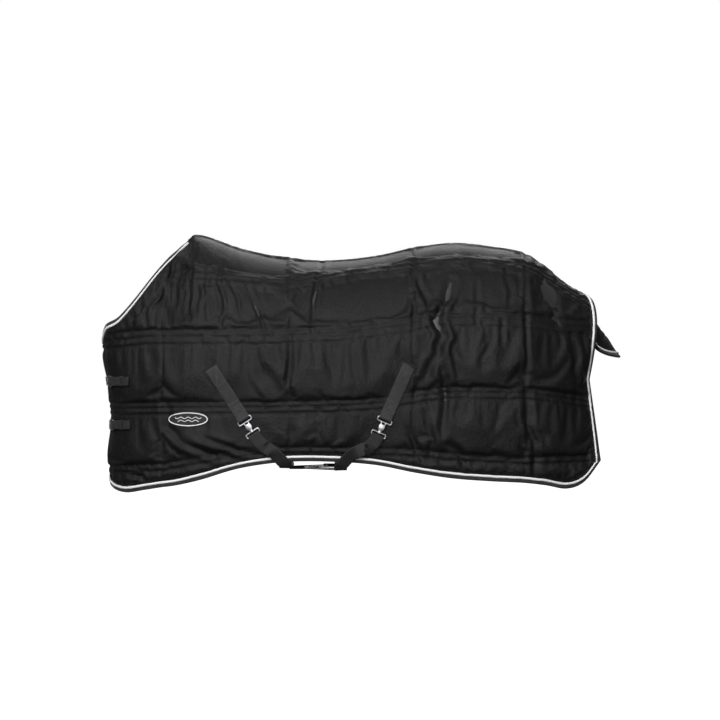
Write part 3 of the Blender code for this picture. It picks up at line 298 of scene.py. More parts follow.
@dataclass(frozen=True)
class FoldedTape:
    """Polyester binding tape, cross-ribbed, folded over the edge and a shade greyer than the cloth."""

    name: str = "folded_tape"
    deep: str = "#191919"
    light: str = "#303031"
    rib_mm: float = 1.8

    def material(self) -> Material:
        """The finish as a node material."""
        made, tree, shader = blank_material(self.name)
        uv = add_node(tree, "UVMap").outputs["UV"]
        ribs = add_node(tree, "TexWave", {"bands_direction": "X", "wave_profile": "SIN"},
                        {"Scale": bands_per_metre(self.rib_mm), "Distortion": 0.5}, {"Vector": uv})
        rub = add_node(tree, "TexNoise", {}, {"Scale": 40.0, "Detail": 4.0}, {"Vector": uv})
        colour = colour_ramp(tree, rub.outputs["Fac"], ((0.3, self.deep), (0.75, self.light)))
        tree.links.new(colour, shader.inputs["Base Color"])
        raised(tree, shader, ribs.outputs["Fac"], 0.5, 0.0005)
        shader.inputs["Roughness"].default_value = 0.6
        shader.inputs["Sheen Weight"].default_value = 0.2
        return made


@dataclass(frozen=True)
class CordPiping:
    """White cotton-covered piping cord: bright, matt, a little grey in the lie of its yarn."""

    name: str = "cord_piping"
    bright: str = "#ffffff"
    soiled: str = "#f0f0ee"
    twist_mm: float = 3.2

    def material(self) -> Material:
        """The finish as a node material."""
        made, tree, shader = blank_material(self.name)
        uv = add_node(tree, "UVMap").outputs["UV"]
        twist = add_node(tree, "TexWave", {"bands_direction": "DIAGONAL", "wave_profile": "SIN"},
                         {"Scale": bands_per_metre(self.twist_mm), "Distortion": 0.4}, {"Vector": uv})
        dirt = add_node(tree, "TexNoise", {}, {"Scale": 22.0, "Detail": 5.0}, {"Vector": uv})
        colour = colour_ramp(tree, dirt.outputs["Fac"], ((0.3, self.bright), (0.85, self.soiled)))
        tree.links.new(colour, shader.inputs["Base Color"])
        raised(tree, shader, twist.outputs["Fac"], 0.4, 0.0005)
        shader.inputs["Roughness"].default_value = 0.7
        shader.inputs["Sheen Weight"].default_value = 0.3
        return made


@dataclass(frozen=True)
class NickelPlate:
    """Nickel-plated die-cast steel: bright, with soft casting waves and rubbed, greyer places."""

    name: str = "nickel_plate"
    bright: str = "#e6e6e8"
    dull: str = "#aeb0b4"
    roughness: float = 0.3

    def material(self) -> Material:
        """The finish as a node material."""
        made, tree, shader = blank_material(self.name)
        place = add_node(tree, "TexCoord").outputs["Object"]
        rub = add_node(tree, "TexNoise", {}, {"Scale": 240.0, "Detail": 4.0}, {"Vector": place})
        waves = add_node(tree, "TexNoise", {}, {"Scale": 90.0, "Detail": 2.0}, {"Vector": place})
        colour = colour_ramp(tree, rub.outputs["Fac"], ((0.35, self.bright), (0.75, self.dull)))
        tree.links.new(colour, shader.inputs["Base Color"])
        gloss = add_node(tree, "MapRange", {}, {3: self.roughness - 0.08, 4: self.roughness + 0.16},
                         {0: rub.outputs["Fac"]})
        tree.links.new(gloss.outputs[0], shader.inputs["Roughness"])
        raised(tree, shader, waves.outputs["Fac"], 0.15, 0.0006)
        shader.inputs["Metallic"].default_value = 1.0
        return made


@dataclass(frozen=True)
class SewingThread:
    """Bonded polyester sewing thread, in one colour, with a slight gloss."""

    name: str = "black_thread"
    colour: str = "#1e1e20"
    fleck: str = "#39393b"

    def material(self) -> Material:
        """The finish as a node material."""
        made, tree, shader = blank_material(self.name)
        place = add_node(tree, "TexCoord").outputs["Object"]
        fleck = add_node(tree, "TexNoise", {}, {"Scale": 320.0, "Detail": 2.0}, {"Vector": place})
        colour = colour_ramp(tree, fleck.outputs["Fac"], ((0.4, self.colour), (0.8, self.fleck)))
        tree.links.new(colour, shader.inputs["Base Color"])
        shader.inputs["Roughness"].default_value = 0.45
        return made


# ------------------------------------------------------------------ curves and meshes

def catmull(values: Grid, at: Grid) -> Grid:
    """Read a smooth curve through evenly numbered values.

    Args:
        values: Rows of values, one for each whole number.
        at: Where to read, in row numbers.

    Returns:
        The interpolated rows.
    """
    last = len(values) - 1
    base = np.clip(np.floor(at).astype(int), 0, last - 1)
    t = (at - base).reshape((-1,) + (1,) * (values.ndim - 1))
    padded = np.concatenate([2.0 * values[:1] - values[1:2], values, 2.0 * values[-1:] - values[-2:-1]])
    p0, p1, p2, p3 = (padded[base + k] for k in range(4))
    return 0.5 * (2.0 * p1 + (p2 - p0) * t + (2.0 * p0 - 5.0 * p1 + 4.0 * p2 - p3) * t * t
                  + (3.0 * p1 - p0 - 3.0 * p2 + p3) * t ** 3)


def smoothstep(values: Grid | float, low: float, high: float) -> Grid:
    """An eased step from 0 at low to 1 at high."""
    t = np.clip((np.asarray(values) - low) / (high - low), 0.0, 1.0)
    return t * t * (3.0 - 2.0 * t)


def unit(vectors: Grid) -> Grid:
    """The vectors at length 1, along their last axis."""
    return vectors / np.maximum(np.linalg.norm(vectors, axis=-1, keepdims=True), 1e-12)


def run_length(points: Grid, axis: int = 0) -> Grid:
    """Length along a line or a grid of points, from 0, in the direction of one axis."""
    steps = np.cumsum(np.linalg.norm(np.diff(points, axis=axis), axis=-1), axis=axis)
    return np.concatenate([np.zeros_like(np.take(steps, [0], axis)), steps], axis=axis)


def rings_round(centre: Grid, wide: Grid, high: Grid, sides: int) -> Grid:
    """Oval sections round a line of points.

    Args:
        centre: The line.
        wide: One half axis at each point.
        high: The other.
        sides: Corners of each section.

    Returns:
        Points as (section, corner, 3).
    """
    turns = np.linspace(0.0, 2.0 * math.pi, sides, endpoint=False)
    return np.stack([centre + wide * math.cos(turn) + high * math.sin(turn) for turn in turns], axis=1)


def blurred(field_in: Grid, passes: int) -> Grid:
    """Smooth a grid of values with a small kernel.

    Args:
        field_in: Values on a grid, with any further axes.
        passes: How many times the kernel is run.

    Returns:
        The smoothed grid.
    """
    out = field_in.copy()
    for _ in range(passes):
        for axis in (0, 1):
            before = np.take(out, np.maximum(np.arange(out.shape[axis]) - 1, 0), axis)
            after = np.take(out, np.minimum(np.arange(out.shape[axis]) + 1, out.shape[axis] - 1), axis)
            out = 0.25 * before + 0.5 * out + 0.25 * after
    return out


def resized(field_in: Grid, shape: tuple[int, int]) -> Grid:
    """Read a coarse grid smoothly at a finer one's points.

    Args:
        field_in: Values on the coarse grid.
        shape: Rows and columns of the finer grid.

    Returns:
        Values on the finer grid.
    """
    rows = catmull(field_in, np.linspace(0.0, field_in.shape[0] - 1.0, shape[0]))
    columns = catmull(np.swapaxes(rows, 0, 1), np.linspace(0.0, field_in.shape[1] - 1.0, shape[1]))
    return np.swapaxes(columns, 0, 1)


def grid_normals(points: Grid, outward: float) -> Grid:
    """Unit normals of a grid surface, on the side that outward's sign picks."""
    along = np.gradient(points, axis=0)
    down = np.gradient(points, axis=1)
    return unit(np.cross(along, down)) * outward


def hashed_noise(x: Grid, z: Grid, cell_x: float, cell_z: float, seed: int) -> Grid:
    """Smooth value noise over a plane, the same at every run.

    Args:
        x: First coordinates, in metres.
        z: Second coordinates, in metres.
        cell_x: The noise's grain along the first.
        cell_z: The noise's grain along the second.
        seed: Picks one pattern.

    Returns:
        Values from -1 to 1.
    """
    a, b = x / cell_x + 37.0 * seed, z / cell_z + 11.0 * seed
    ia, ib = np.floor(a), np.floor(b)
    fa, fb = smoothstep(a - ia, 0.0, 1.0), smoothstep(b - ib, 0.0, 1.0)

    def corner(p: Grid, q: Grid) -> Grid:
        """The value at a whole-numbered corner."""
        value = np.sin(p * 127.1 + q * 311.7 + seed * 74.7) * 43758.5453
        return (value - np.floor(value)) * 2.0 - 1.0

    low = corner(ia, ib) * (1.0 - fa) + corner(ia + 1.0, ib) * fa
    high = corner(ia, ib + 1.0) * (1.0 - fa) + corner(ia + 1.0, ib + 1.0) * fa
    return low * (1.0 - fb) + high * fb


def mesh_object(name: str, points: Grid, faces: Sequence[Sequence[int]], uvs: Grid | None,
                finish: Material, smooth: bool = True) -> Object:
    """Put a mesh into the scene.

    Args:
        name: The piece's name.
        points: Its vertices.
        faces: Vertex numbers of each face.
        uvs: Cloth coordinates in metres, one for each vertex, or None.
        finish: Its material.
        smooth: Whether its faces are shaded smooth.

    Returns:
        The new object.
    """
    mesh = bpy.data.meshes.new(name)
    mesh.from_pydata(np.asarray(points, float).reshape(-1, 3).tolist(), [], [tuple(f) for f in faces])
    if uvs is not None:
        layer = mesh.uv_layers.new(name="cloth")
        corners = np.empty(len(mesh.loops), np.int32)
        mesh.loops.foreach_get("vertex_index", corners)
        layer.data.foreach_set("uv", np.asarray(uvs, np.float32).reshape(-1, 2)[corners].ravel())
    mesh.polygons.foreach_set("use_smooth", [smooth] * len(mesh.polygons))
    mesh.materials.append(finish)
    mesh.validate()
    made = bpy.data.objects.new(name, mesh)
    bpy.context.scene.collection.objects.link(made)
    return made


def grid_faces(rows: int, columns: int, offset: int = 0, flip: bool = False) -> list[tuple[int, ...]]:
    """Faces of a grid of points.

    Args:
        rows: How many rows it has.
        columns: How many points each row has.
        offset: The first point's number.
        flip: Whether the faces look the other way.

    Returns:
        Four vertex numbers for each face.
    """
    i, j = np.meshgrid(np.arange(rows - 1), np.arange(columns - 1), indexing="ij")
    a = (i * columns + j + offset).ravel()
    quads = np.stack([a, a + 1, a + columns + 1, a + columns], axis=1)
    return (quads[:, ::-1] if flip else quads).tolist()


def closed_sheet(name: str, upper: Grid, lower: Grid, uvs: Grid, flip: bool, finish: Material) -> Object:
    """Make a closed solid between two grids of points.

    Args:
        name: The piece's name.
        upper: The outer face's points.
        lower: The inner face's points.
        uvs: Cloth coordinates of the grid.
        flip: Whether the grid runs so that its faces have to be turned.
        finish: The material.

    Returns:
        The new object.
    """
    rows, columns = upper.shape[:2]
    count = rows * columns
    faces = grid_faces(rows, columns, 0, flip) + grid_faces(rows, columns, count, not flip)
    ring = list(range(columns))
    ring += [i * columns + columns - 1 for i in range(1, rows)]
    ring += [(rows - 1) * columns + j for j in range(columns - 2, -1, -1)]
    ring += [i * columns for i in range(rows - 2, 0, -1)]
    for k, first in enumerate(ring):
        second = ring[(k + 1) % len(ring)]
        wall = (first, first + count, second + count, second)
        faces.append(tuple(reversed(wall)) if flip else wall)
    points = np.concatenate([upper.reshape(-1, 3), lower.reshape(-1, 3)])
    return mesh_object(name, points, faces, np.concatenate([uvs.reshape(-1, 2)] * 2), finish)


def swept(name: str, sections: Grid, runs: Grid, finish: Material, cyclic: bool = False) -> Object:
    """Make a solid through a row of ring-shaped sections.

    Args:
        name: The piece's name.
        sections: Points, as (section, corner, 3).
        runs: Length along the sweep at each section.
        finish: The material.
        cyclic: Whether the sweep closes on itself.

    Returns:
        The new object.
    """
    count, sides = sections.shape[:2]
    faces: list[tuple[int, ...]] = []
    for i in range(count if cyclic else count - 1):
        following = (i + 1) % count
        for j in range(sides):
            k = (j + 1) % sides
            faces.append((i * sides + j, following * sides + j, following * sides + k, i * sides + k))
    if not cyclic:
        faces.append(tuple(range(sides)))
        faces.append(tuple(reversed(range((count - 1) * sides, count * sides))))
    uvs = np.stack([np.repeat(runs, sides), np.tile(run_length(sections[0]), count)], axis=1)
    made = mesh_object(name, sections, faces, uvs, finish)
    turned_outward(made)
    return made


def turned_outward(piece: Object) -> None:
    """Make a closed mesh's faces look outwards.

    Args:
        piece: The object whose mesh is put right.
    """
    mesh = piece.data
    mesh.calc_loop_triangles()
    points = np.empty(len(mesh.vertices) * 3)
    mesh.vertices.foreach_get("co", points)
    corners = np.empty(len(mesh.loop_triangles) * 3, np.int32)
    mesh.loop_triangles.foreach_get("vertices", corners)
    a, b, c = (points.reshape(-1, 3)[corners.reshape(-1, 3)[:, k]] for k in range(3))
    if np.einsum("ij,ij->i", a, np.cross(b, c)).sum() < 0.0:
        mesh.flip_normals()


def joined(name: str, pieces: Sequence[Object]) -> Object:
    """Join objects into one.

    Args:
        name: The joined piece's name.
        pieces: The objects, which are all removed; the first gives the joined piece its material.

    Returns:
        The joined object.
    """
    points, faces, uvs, start = [], [], [], 0
    for each in pieces:
        co = np.empty(len(each.data.vertices) * 3)
        each.data.vertices.foreach_get("co", co)
        points.append(co.reshape(-1, 3))
        faces += [tuple(v + start for v in face.vertices) for face in each.data.polygons]
        spots = np.zeros((len(each.data.vertices), 2))
        if each.data.uv_layers:
            for loop, corner in zip(each.data.loops, each.data.uv_layers[0].data):
                spots[loop.vertex_index] = corner.uv
        uvs.append(spots)
        start += len(each.data.vertices)
    finish = pieces[0].data.materials[0]
    for each in pieces:
        mesh = each.data
        bpy.data.objects.remove(each)
        bpy.data.meshes.remove(mesh)
    return mesh_object(name, np.concatenate(points), faces, np.concatenate(uvs), finish)


def placed(piece: Object, body: str, replaces: Iterable[str] = ()) -> Object:
    """Ride a finished piece on its body and report it.

    Args:
        piece: The finished object.
        body: The CAD body that it moves with.
        replaces: CAD nodes that it stands for.

    Returns:
        The same object.
    """
    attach(piece, body)
    names = tuple(replaces)
    if names:
        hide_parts(*names)
    LOG.info("%s: %d vertices on %s", piece.name, len(piece.data.vertices), body)
    return piece


# ------------------------------------------------------------------ the rug's shape

@dataclass
class WornShape:
    """The side panels' underside, as the horse fills it out; the same stations as the CAD part."""

    side: Side
    spacing: float = 0.0052
    mane: int = 7
    mane_fan: float = 0.022
    shoulder_slope: float = 0.08
    seam_half: float = 0.0006
    flap_lift: float = 0.021
    quilt: float = 0.011
    stations: tuple = (
        ((-0.306, -0.045, -0.352), (-0.273, -0.045, -0.62), (-0.276, -0.045, -0.832), 0.0, 1.0),
        ((-0.313, 0.02, -0.338), (-0.277, 0.02, -0.62), (-0.283, 0.02, -0.848), 0.0, 1.0),
        ((-0.3, 0.07, -0.3), (-0.268, 0.08, -0.61), (-0.268, 0.076, -0.864), 0.0, 1.0),
        ((-0.268, 0.112, -0.276), (-0.24, 0.135, -0.58), (-0.238, 0.128, -0.874), 0.0, 0.55),
        ((-0.214, 0.137, -0.207), (-0.195, 0.18, -0.53), (-0.19, 0.17, -0.866), 0.0, 0.15),
        ((-0.148, 0.128, -0.121), (-0.138, 0.214, -0.48), (-0.13, 0.202, -0.856), 0.0, 0.0),
        ((-0.098, 0.084, -0.062), (-0.092, 0.23, -0.46), (-0.085, 0.218, -0.85), 0.0, 0.0),
        ((-0.05, 0.0, -0.024), (-0.044, 0.243, -0.45), (-0.036, 0.232, -0.84), 0.0, 0.0),
        ((0.0, 0.0, 0.0), (0.012, 0.255, -0.44), (0.022, 0.245, -0.825), 0.0, 0.0),
        ((0.143, 0.0, -0.047), (0.143, 0.28, -0.43), (0.143, 0.262, -0.789), 0.0, 0.0),
        ((0.29, 0.0, -0.078), (0.29, 0.293, -0.42), (0.29, 0.27, -0.768), 0.0, 0.0),
        ((0.44, 0.0, -0.088), (0.44, 0.298, -0.42), (0.44, 0.272, -0.766), 0.0, 0.0),
        ((0.6, 0.0, -0.073), (0.6, 0.298, -0.41), (0.6, 0.272, -0.777), 0.0, 0.0),
        ((0.737, 0.0, -0.044), (0.74, 0.293, -0.41), (0.74, 0.27, -0.804), 0.0, 0.0),
        ((0.876, 0.0, -0.027), (0.872, 0.289, -0.4), (0.87, 0.266, -0.824), 0.0, 0.0),
        ((1.003, 0.0, -0.039), (1.003, 0.28, -0.4), (1.003, 0.26, -0.834), 0.0, 0.0),
        ((1.088, 0.0, -0.054), (1.095, 0.266, -0.41), (1.105, 0.252, -0.839), 0.0, 0.0),
        ((1.159, 0.0, -0.088), (1.168, 0.244, -0.42), (1.185, 0.238, -0.848), 0.0, 0.0),
        ((1.238, 0.0, -0.15), (1.24, 0.21, -0.45), (1.258, 0.216, -0.86), 0.01, 0.0),
        ((1.289, 0.0, -0.187), (1.295, 0.17, -0.47), (1.318, 0.19, -0.838), 0.02, 0.0),
        ((1.336, 0.0, -0.208), (1.335, 0.122, -0.49), (1.376, 0.158, -0.768), 0.028, 0.0),
    )

    def _columns(self, at: Grid) -> tuple[Grid, Grid, Grid, Grid, Grid]:
        """Read the stations at places along the rug, as upper, middle and hem points, bow and lift."""
        upper = np.array([s[0] for s in self.stations])
        neck = catmull(upper[:self.mane + 1], np.minimum(at, self.mane))
        spine = catmull(upper[self.mane:], np.maximum(at - self.mane, 0.0))
        top = np.where((at < self.mane)[:, None], neck, spine)
        rest = [np.array([s[k] for s in self.stations]) for k in (1, 2, 3, 4)]
        return (top, catmull(rest[0], at), catmull(rest[1], at), catmull(rest[2], at),
                np.interp(at, np.arange(len(rest[3])), rest[3]))

    def _points(self, at: Grid, down: Grid) -> Grid:
        """Points of the underside at places along the rug and from 0 to 2 down each column."""
        top, middle, hem, bow, _ = self._columns(at)
        share = np.clip(down, 0.0, 1.0)[None, :]
        turn = share * math.pi / 2.0
        round_part = np.maximum(0.0, 1.0 - np.abs(top[:, 1]) / self.shoulder_slope)[:, None]
        fall = round_part * (1.0 - np.cos(turn)) + (1.0 - round_part) * share
        out = top[:, 1:2] + (middle[:, 1:2] - top[:, 1:2]) * np.sin(turn)
        fan = self.mane_fan * np.exp(-((at - self.mane) / 0.45) ** 2)[:, None]
        back = top[:, 0:1] + (middle[:, 0:1] - top[:, 0:1]) * share
        back = back + bow[:, None] * np.sin(share * math.pi)
        back = back + fan * np.minimum(1.0, share / 0.05) * (1.0 - share)
        height = top[:, 2:3] + (middle[:, 2:3] - top[:, 2:3]) * fall
        low = np.clip(down - 1.0, 0.0, 1.0)[None, :]
        back = back + (hem[:, 0:1] - middle[:, 0:1]) * low
        out = out + (hem[:, 1:2] - middle[:, 1:2]) * low * low
        height = height + (hem[:, 2:3] - middle[:, 2:3]) * low
        past_mane = (at >= self.mane)[:, None]
        out = np.where(past_mane, np.maximum(out, self.seam_half), out)
        return np.stack([back, out * self.side.value, height], axis=-1)

    def grid(self) -> tuple[Grid, Grid, int]:
        """Lay out an even grid over the underside.

        Returns:
            The points, their unit outward normals and the mane's row number.
        """
        along = np.linspace(0.0, len(self.stations) - 1.0, 1200)
        line = self._points(along, np.array([0.9]))[:, 0]
        upper_line = self._points(along, np.array([0.0]))[:, 0]
        steps = np.maximum(np.linalg.norm(np.diff(line, axis=0), axis=1),
                           0.75 * np.linalg.norm(np.diff(upper_line, axis=0), axis=1))
        run = np.concatenate([[0.0], np.cumsum(steps)])
        split = np.interp(self.mane, along, run)
        before = max(2, round(split / self.spacing))
        after = max(2, round((run[-1] - split) / self.spacing))
        targets = np.append(np.linspace(0.0, split, before + 1), np.linspace(split, run[-1], after + 1)[1:])
        at = np.interp(targets, run, along)
        at[before] = self.mane
        fine = self._points(at, np.linspace(0.0, 2.0, 401))
        lengths = run_length(fine, 1)
        count = round(float(lengths[:, -1].max()) / self.spacing)
        shares = np.linspace(0.0, 1.0, count + 1)
        rows = np.empty((len(at), count + 1, 3))
        for i in range(len(at)):
            for k in range(3):
                rows[i, :, k] = np.interp(shares * lengths[i, -1], lengths[i], fine[i, :, k])
        normals = grid_normals(rows, self.side.value)
        if self.side is Side.NEAR:
            lift = self._columns(at)[4][:, None, None]
            rows = rows + normals * self.flap_lift * smoothstep(lift, 0.0, 1.0)
            normals = grid_normals(rows, self.side.value)
        return rows, normals, before


@dataclass(frozen=True)
class Fold:
    """A crease in the cloth: a line through side-view points, its depth, half width and banks."""

    line: tuple[tuple[float, float], ...]
    depth: float
    width: float
    bank: float = 0.45

    def relief(self, x: Grid, z: Grid) -> Grid:
        """The crease's height over the cloth.

        Args:
            x: Side-view X of each point.
            z: Side-view Z of each point.

        Returns:
            Heights in metres, below zero in the crease and above it on its banks.
        """
        nearest = np.full(x.shape, 9.0)
        fade = np.zeros(x.shape)
        total = len(self.line) - 1
        for k in range(total):
            (ax, az), (bx, bz) = self.line[k], self.line[k + 1]
            dx, dz = bx - ax, bz - az
            t = np.clip(((x - ax) * dx + (z - az) * dz) / (dx * dx + dz * dz), 0.0, 1.0)
            gap = np.hypot(x - ax - dx * t, z - az - dz * t)
            closer = gap < nearest
            nearest = np.where(closer, gap, nearest)
            fade = np.where(closer, np.sin(math.pi * np.clip(0.12 + 0.76 * (k + t) / total, 0.0, 1.0)), fade)
        valley = np.exp(-(nearest / self.width) ** 2)
        banks = np.exp(-((nearest - 1.9 * self.width) / (0.9 * self.width)) ** 2)
        return self.depth * fade * (self.bank * banks - valley)


@dataclass(frozen=True)
class Hollow:
    """A broad soft dip or swell of the cloth, in side-view metres."""

    centre: tuple[float, float]
    reach: tuple[float, float]
    height: float

    def relief(self, x: Grid, z: Grid) -> Grid:
        """The swell's height over the cloth at side-view points."""
        return self.height * np.exp(-((x - self.centre[0]) / self.reach[0]) ** 2
                                    - ((z - self.centre[1]) / self.reach[1]) ** 2)


@dataclass(frozen=True)
class QuiltLine:
    """A band of parallel stitch lines: its middle line in side view and the lines' places across it."""

    line: tuple[tuple[float, float], ...]
    offsets: tuple[float, ...] = (-0.025, 0.0, 0.025)


QUILT_BANDS = (
    QuiltLine(((-0.1, -0.135), (0.06, -0.14), (0.18, -0.15), (0.3, -0.16), (0.42, -0.14), (0.52, -0.122),
               (0.72, -0.098), (0.91, -0.078), (1.08, -0.09), (1.18, -0.13), (1.27, -0.185), (1.36, -0.25))),
    QuiltLine(((-0.34, -0.362), (-0.18, -0.345), (0.25, -0.343), (0.51, -0.332), (0.67, -0.312),
               (0.735, -0.3), (0.83, -0.281), (1.01, -0.284), (1.13, -0.292), (1.26, -0.308), (1.4, -0.318))),
    QuiltLine(((-0.32, -0.592), (-0.1, -0.587), (0.26, -0.584), (0.51, -0.578), (0.63, -0.57), (0.76, -0.546),
               (0.88, -0.533), (1.13, -0.538), (1.3, -0.562), (1.4, -0.575)), (-0.021, 0.0, 0.019)),
    QuiltLine(((-0.32, -0.812), (-0.12, -0.802), (0.06, -0.768), (0.22, -0.744), (0.52, -0.745),
               (0.74, -0.752), (0.86, -0.766), (1.11, -0.78), (1.34, -0.772)), (0.0, 0.024)),
)
UPRIGHT_SEAMS = (-0.125, 0.313, 0.735, 1.12)
FOLDS = (
    Fold(((0.42, -0.075), (0.405, -0.14), (0.393, -0.21), (0.392, -0.325)), 0.0055, 0.0085),
    Fold(((0.733, -0.08), (0.728, -0.2), (0.733, -0.3)), 0.005, 0.008),
    Fold(((0.735, -0.085), (0.765, -0.18), (0.808, -0.292)), 0.0045, 0.009),
    Fold(((0.862, -0.15), (0.835, -0.23), (0.814, -0.29), (0.833, -0.34), (0.796, -0.424), (0.746, -0.537)),
         0.0095, 0.015, 0.55),
    Fold(((0.815, -0.374), (0.84, -0.48), (0.842, -0.562), (0.83, -0.662)), 0.008, 0.014, 0.5),
    Fold(((0.965, -0.412), (1.009, -0.349)), 0.0035, 0.008),
    Fold(((1.034, -0.361), (1.04, -0.286)), 0.0035, 0.008),
    Fold(((1.12, -0.537), (1.128, -0.64), (1.15, -0.74), (1.156, -0.825)), 0.008, 0.012, 0.5),
    Fold(((1.165, -0.612), (1.19, -0.69), (1.221, -0.762)), -0.005, 0.015, 0.3),
    Fold(((1.118, -0.11), (1.122, -0.23), (1.12, -0.33), (1.118, -0.5)), 0.0035, 0.008),
    Fold(((1.275, -0.34), (1.29, -0.42), (1.285, -0.5), (1.3, -0.58)), 0.0055, 0.011),
    Fold(((1.315, -0.33), (1.325, -0.42), (1.318, -0.52)), 0.0045, 0.009),
    Fold(((1.18, -0.13), (1.215, -0.21), (1.225, -0.29)), 0.006, 0.015),
    Fold(((0.113, -0.161), (0.135, -0.215), (0.157, -0.286)), 0.004, 0.007),
    Fold(((0.182, -0.205), (0.205, -0.27), (0.228, -0.336)), 0.0045, 0.007),
    Fold(((-0.018, -0.02), (-0.022, -0.09), (-0.028, -0.15), (-0.04, -0.25)), 0.004, 0.0075),
    Fold(((-0.08, -0.075), (-0.1, -0.14), (-0.135, -0.23), (-0.15, -0.31)), 0.004, 0.0075),
    Fold(((-0.12, -0.14), (-0.165, -0.22), (-0.2, -0.3)), 0.0045, 0.008),
    Fold(((-0.06, -0.08), (-0.075, -0.16), (-0.09, -0.25), (-0.1, -0.33)), 0.0035, 0.007),
    Fold(((-0.18, -0.21), (-0.215, -0.27), (-0.24, -0.33)), 0.004, 0.008),
    Fold(((0.03, -0.06), (0.035, -0.15), (0.02, -0.24), (0.025, -0.32)), 0.003, 0.007),
    Fold(((0.08, -0.075), (0.075, -0.16), (0.09, -0.24), (0.08, -0.3)), 0.003, 0.007),
    Fold(((-0.112, -0.574), (-0.1, -0.65), (-0.04, -0.7), (0.03, -0.735), (0.132, -0.762)),
         0.0075, 0.014, 0.5),
    Fold(((-0.031, -0.675), (0.069, -0.706), (0.15, -0.73), (0.23, -0.745)), 0.007, 0.011, 0.5),
    Fold(((0.16, -0.38), (0.245, -0.487), (0.3, -0.555)), 0.0065, 0.023, 0.5),
    Fold(((0.69, -0.624), (0.74, -0.7), (0.77, -0.762)), 0.006, 0.013, 0.5),
    Fold(((0.77, -0.6), (0.8, -0.69), (0.79, -0.77)), 0.0055, 0.012, 0.5),
    Fold(((0.86, -0.7), (0.9, -0.75), (0.91, -0.8)), 0.005, 0.011),
    Fold(((0.4, -0.7), (0.385, -0.74), (0.392, -0.765)), 0.0035, 0.008),
    Fold(((0.06, -0.74), (0.066, -0.77), (0.062, -0.8)), 0.003, 0.007),
    Fold(((-0.18, -0.85), (-0.2, -0.82), (-0.26, -0.815)), 0.005, 0.01),
    Fold(((0.95, -0.15), (0.958, -0.22), (0.95, -0.29)), 0.0025, 0.008),
    Fold(((1.05, -0.12), (1.07, -0.18), (1.065, -0.25)), 0.003, 0.009),
    Fold(((0.52, -0.11), (0.515, -0.15)), 0.003, 0.006),
    Fold(((0.31, -0.33), (0.314, -0.42), (0.306, -0.52)), 0.0035, 0.011),
)
HOLLOWS = (Hollow((1.215, -0.215), (0.055, 0.1), -0.009), Hollow((0.205, -0.47), (0.07, 0.08), -0.006),
           Hollow((0.06, -0.7), (0.12, 0.035), 0.006), Hollow((0.95, -0.62), (0.07, 0.11), 0.007),
           Hollow((1.215, -0.64), (0.05, 0.12), 0.006), Hollow((0.98, -0.43), (0.09, 0.06), 0.005),
           Hollow((0.56, -0.45), (0.1, 0.08), 0.004), Hollow((-0.14, -0.45), (0.08, 0.08), 0.004),
           Hollow((0.79, -0.48), (0.03, 0.1), -0.007), )
FLAT_PLACES = ((0.165, -0.64, 0.075), (0.632, -0.64, 0.075), (-0.3, -0.5, 0.07), (-0.3, -0.645, 0.07),
               (0.1, -0.54, 0.06), (0.68, -0.53, 0.06), (-0.034, -0.624, 0.06),
               (0.198, -0.684, 0.065), (0.606, -0.686, 0.065))


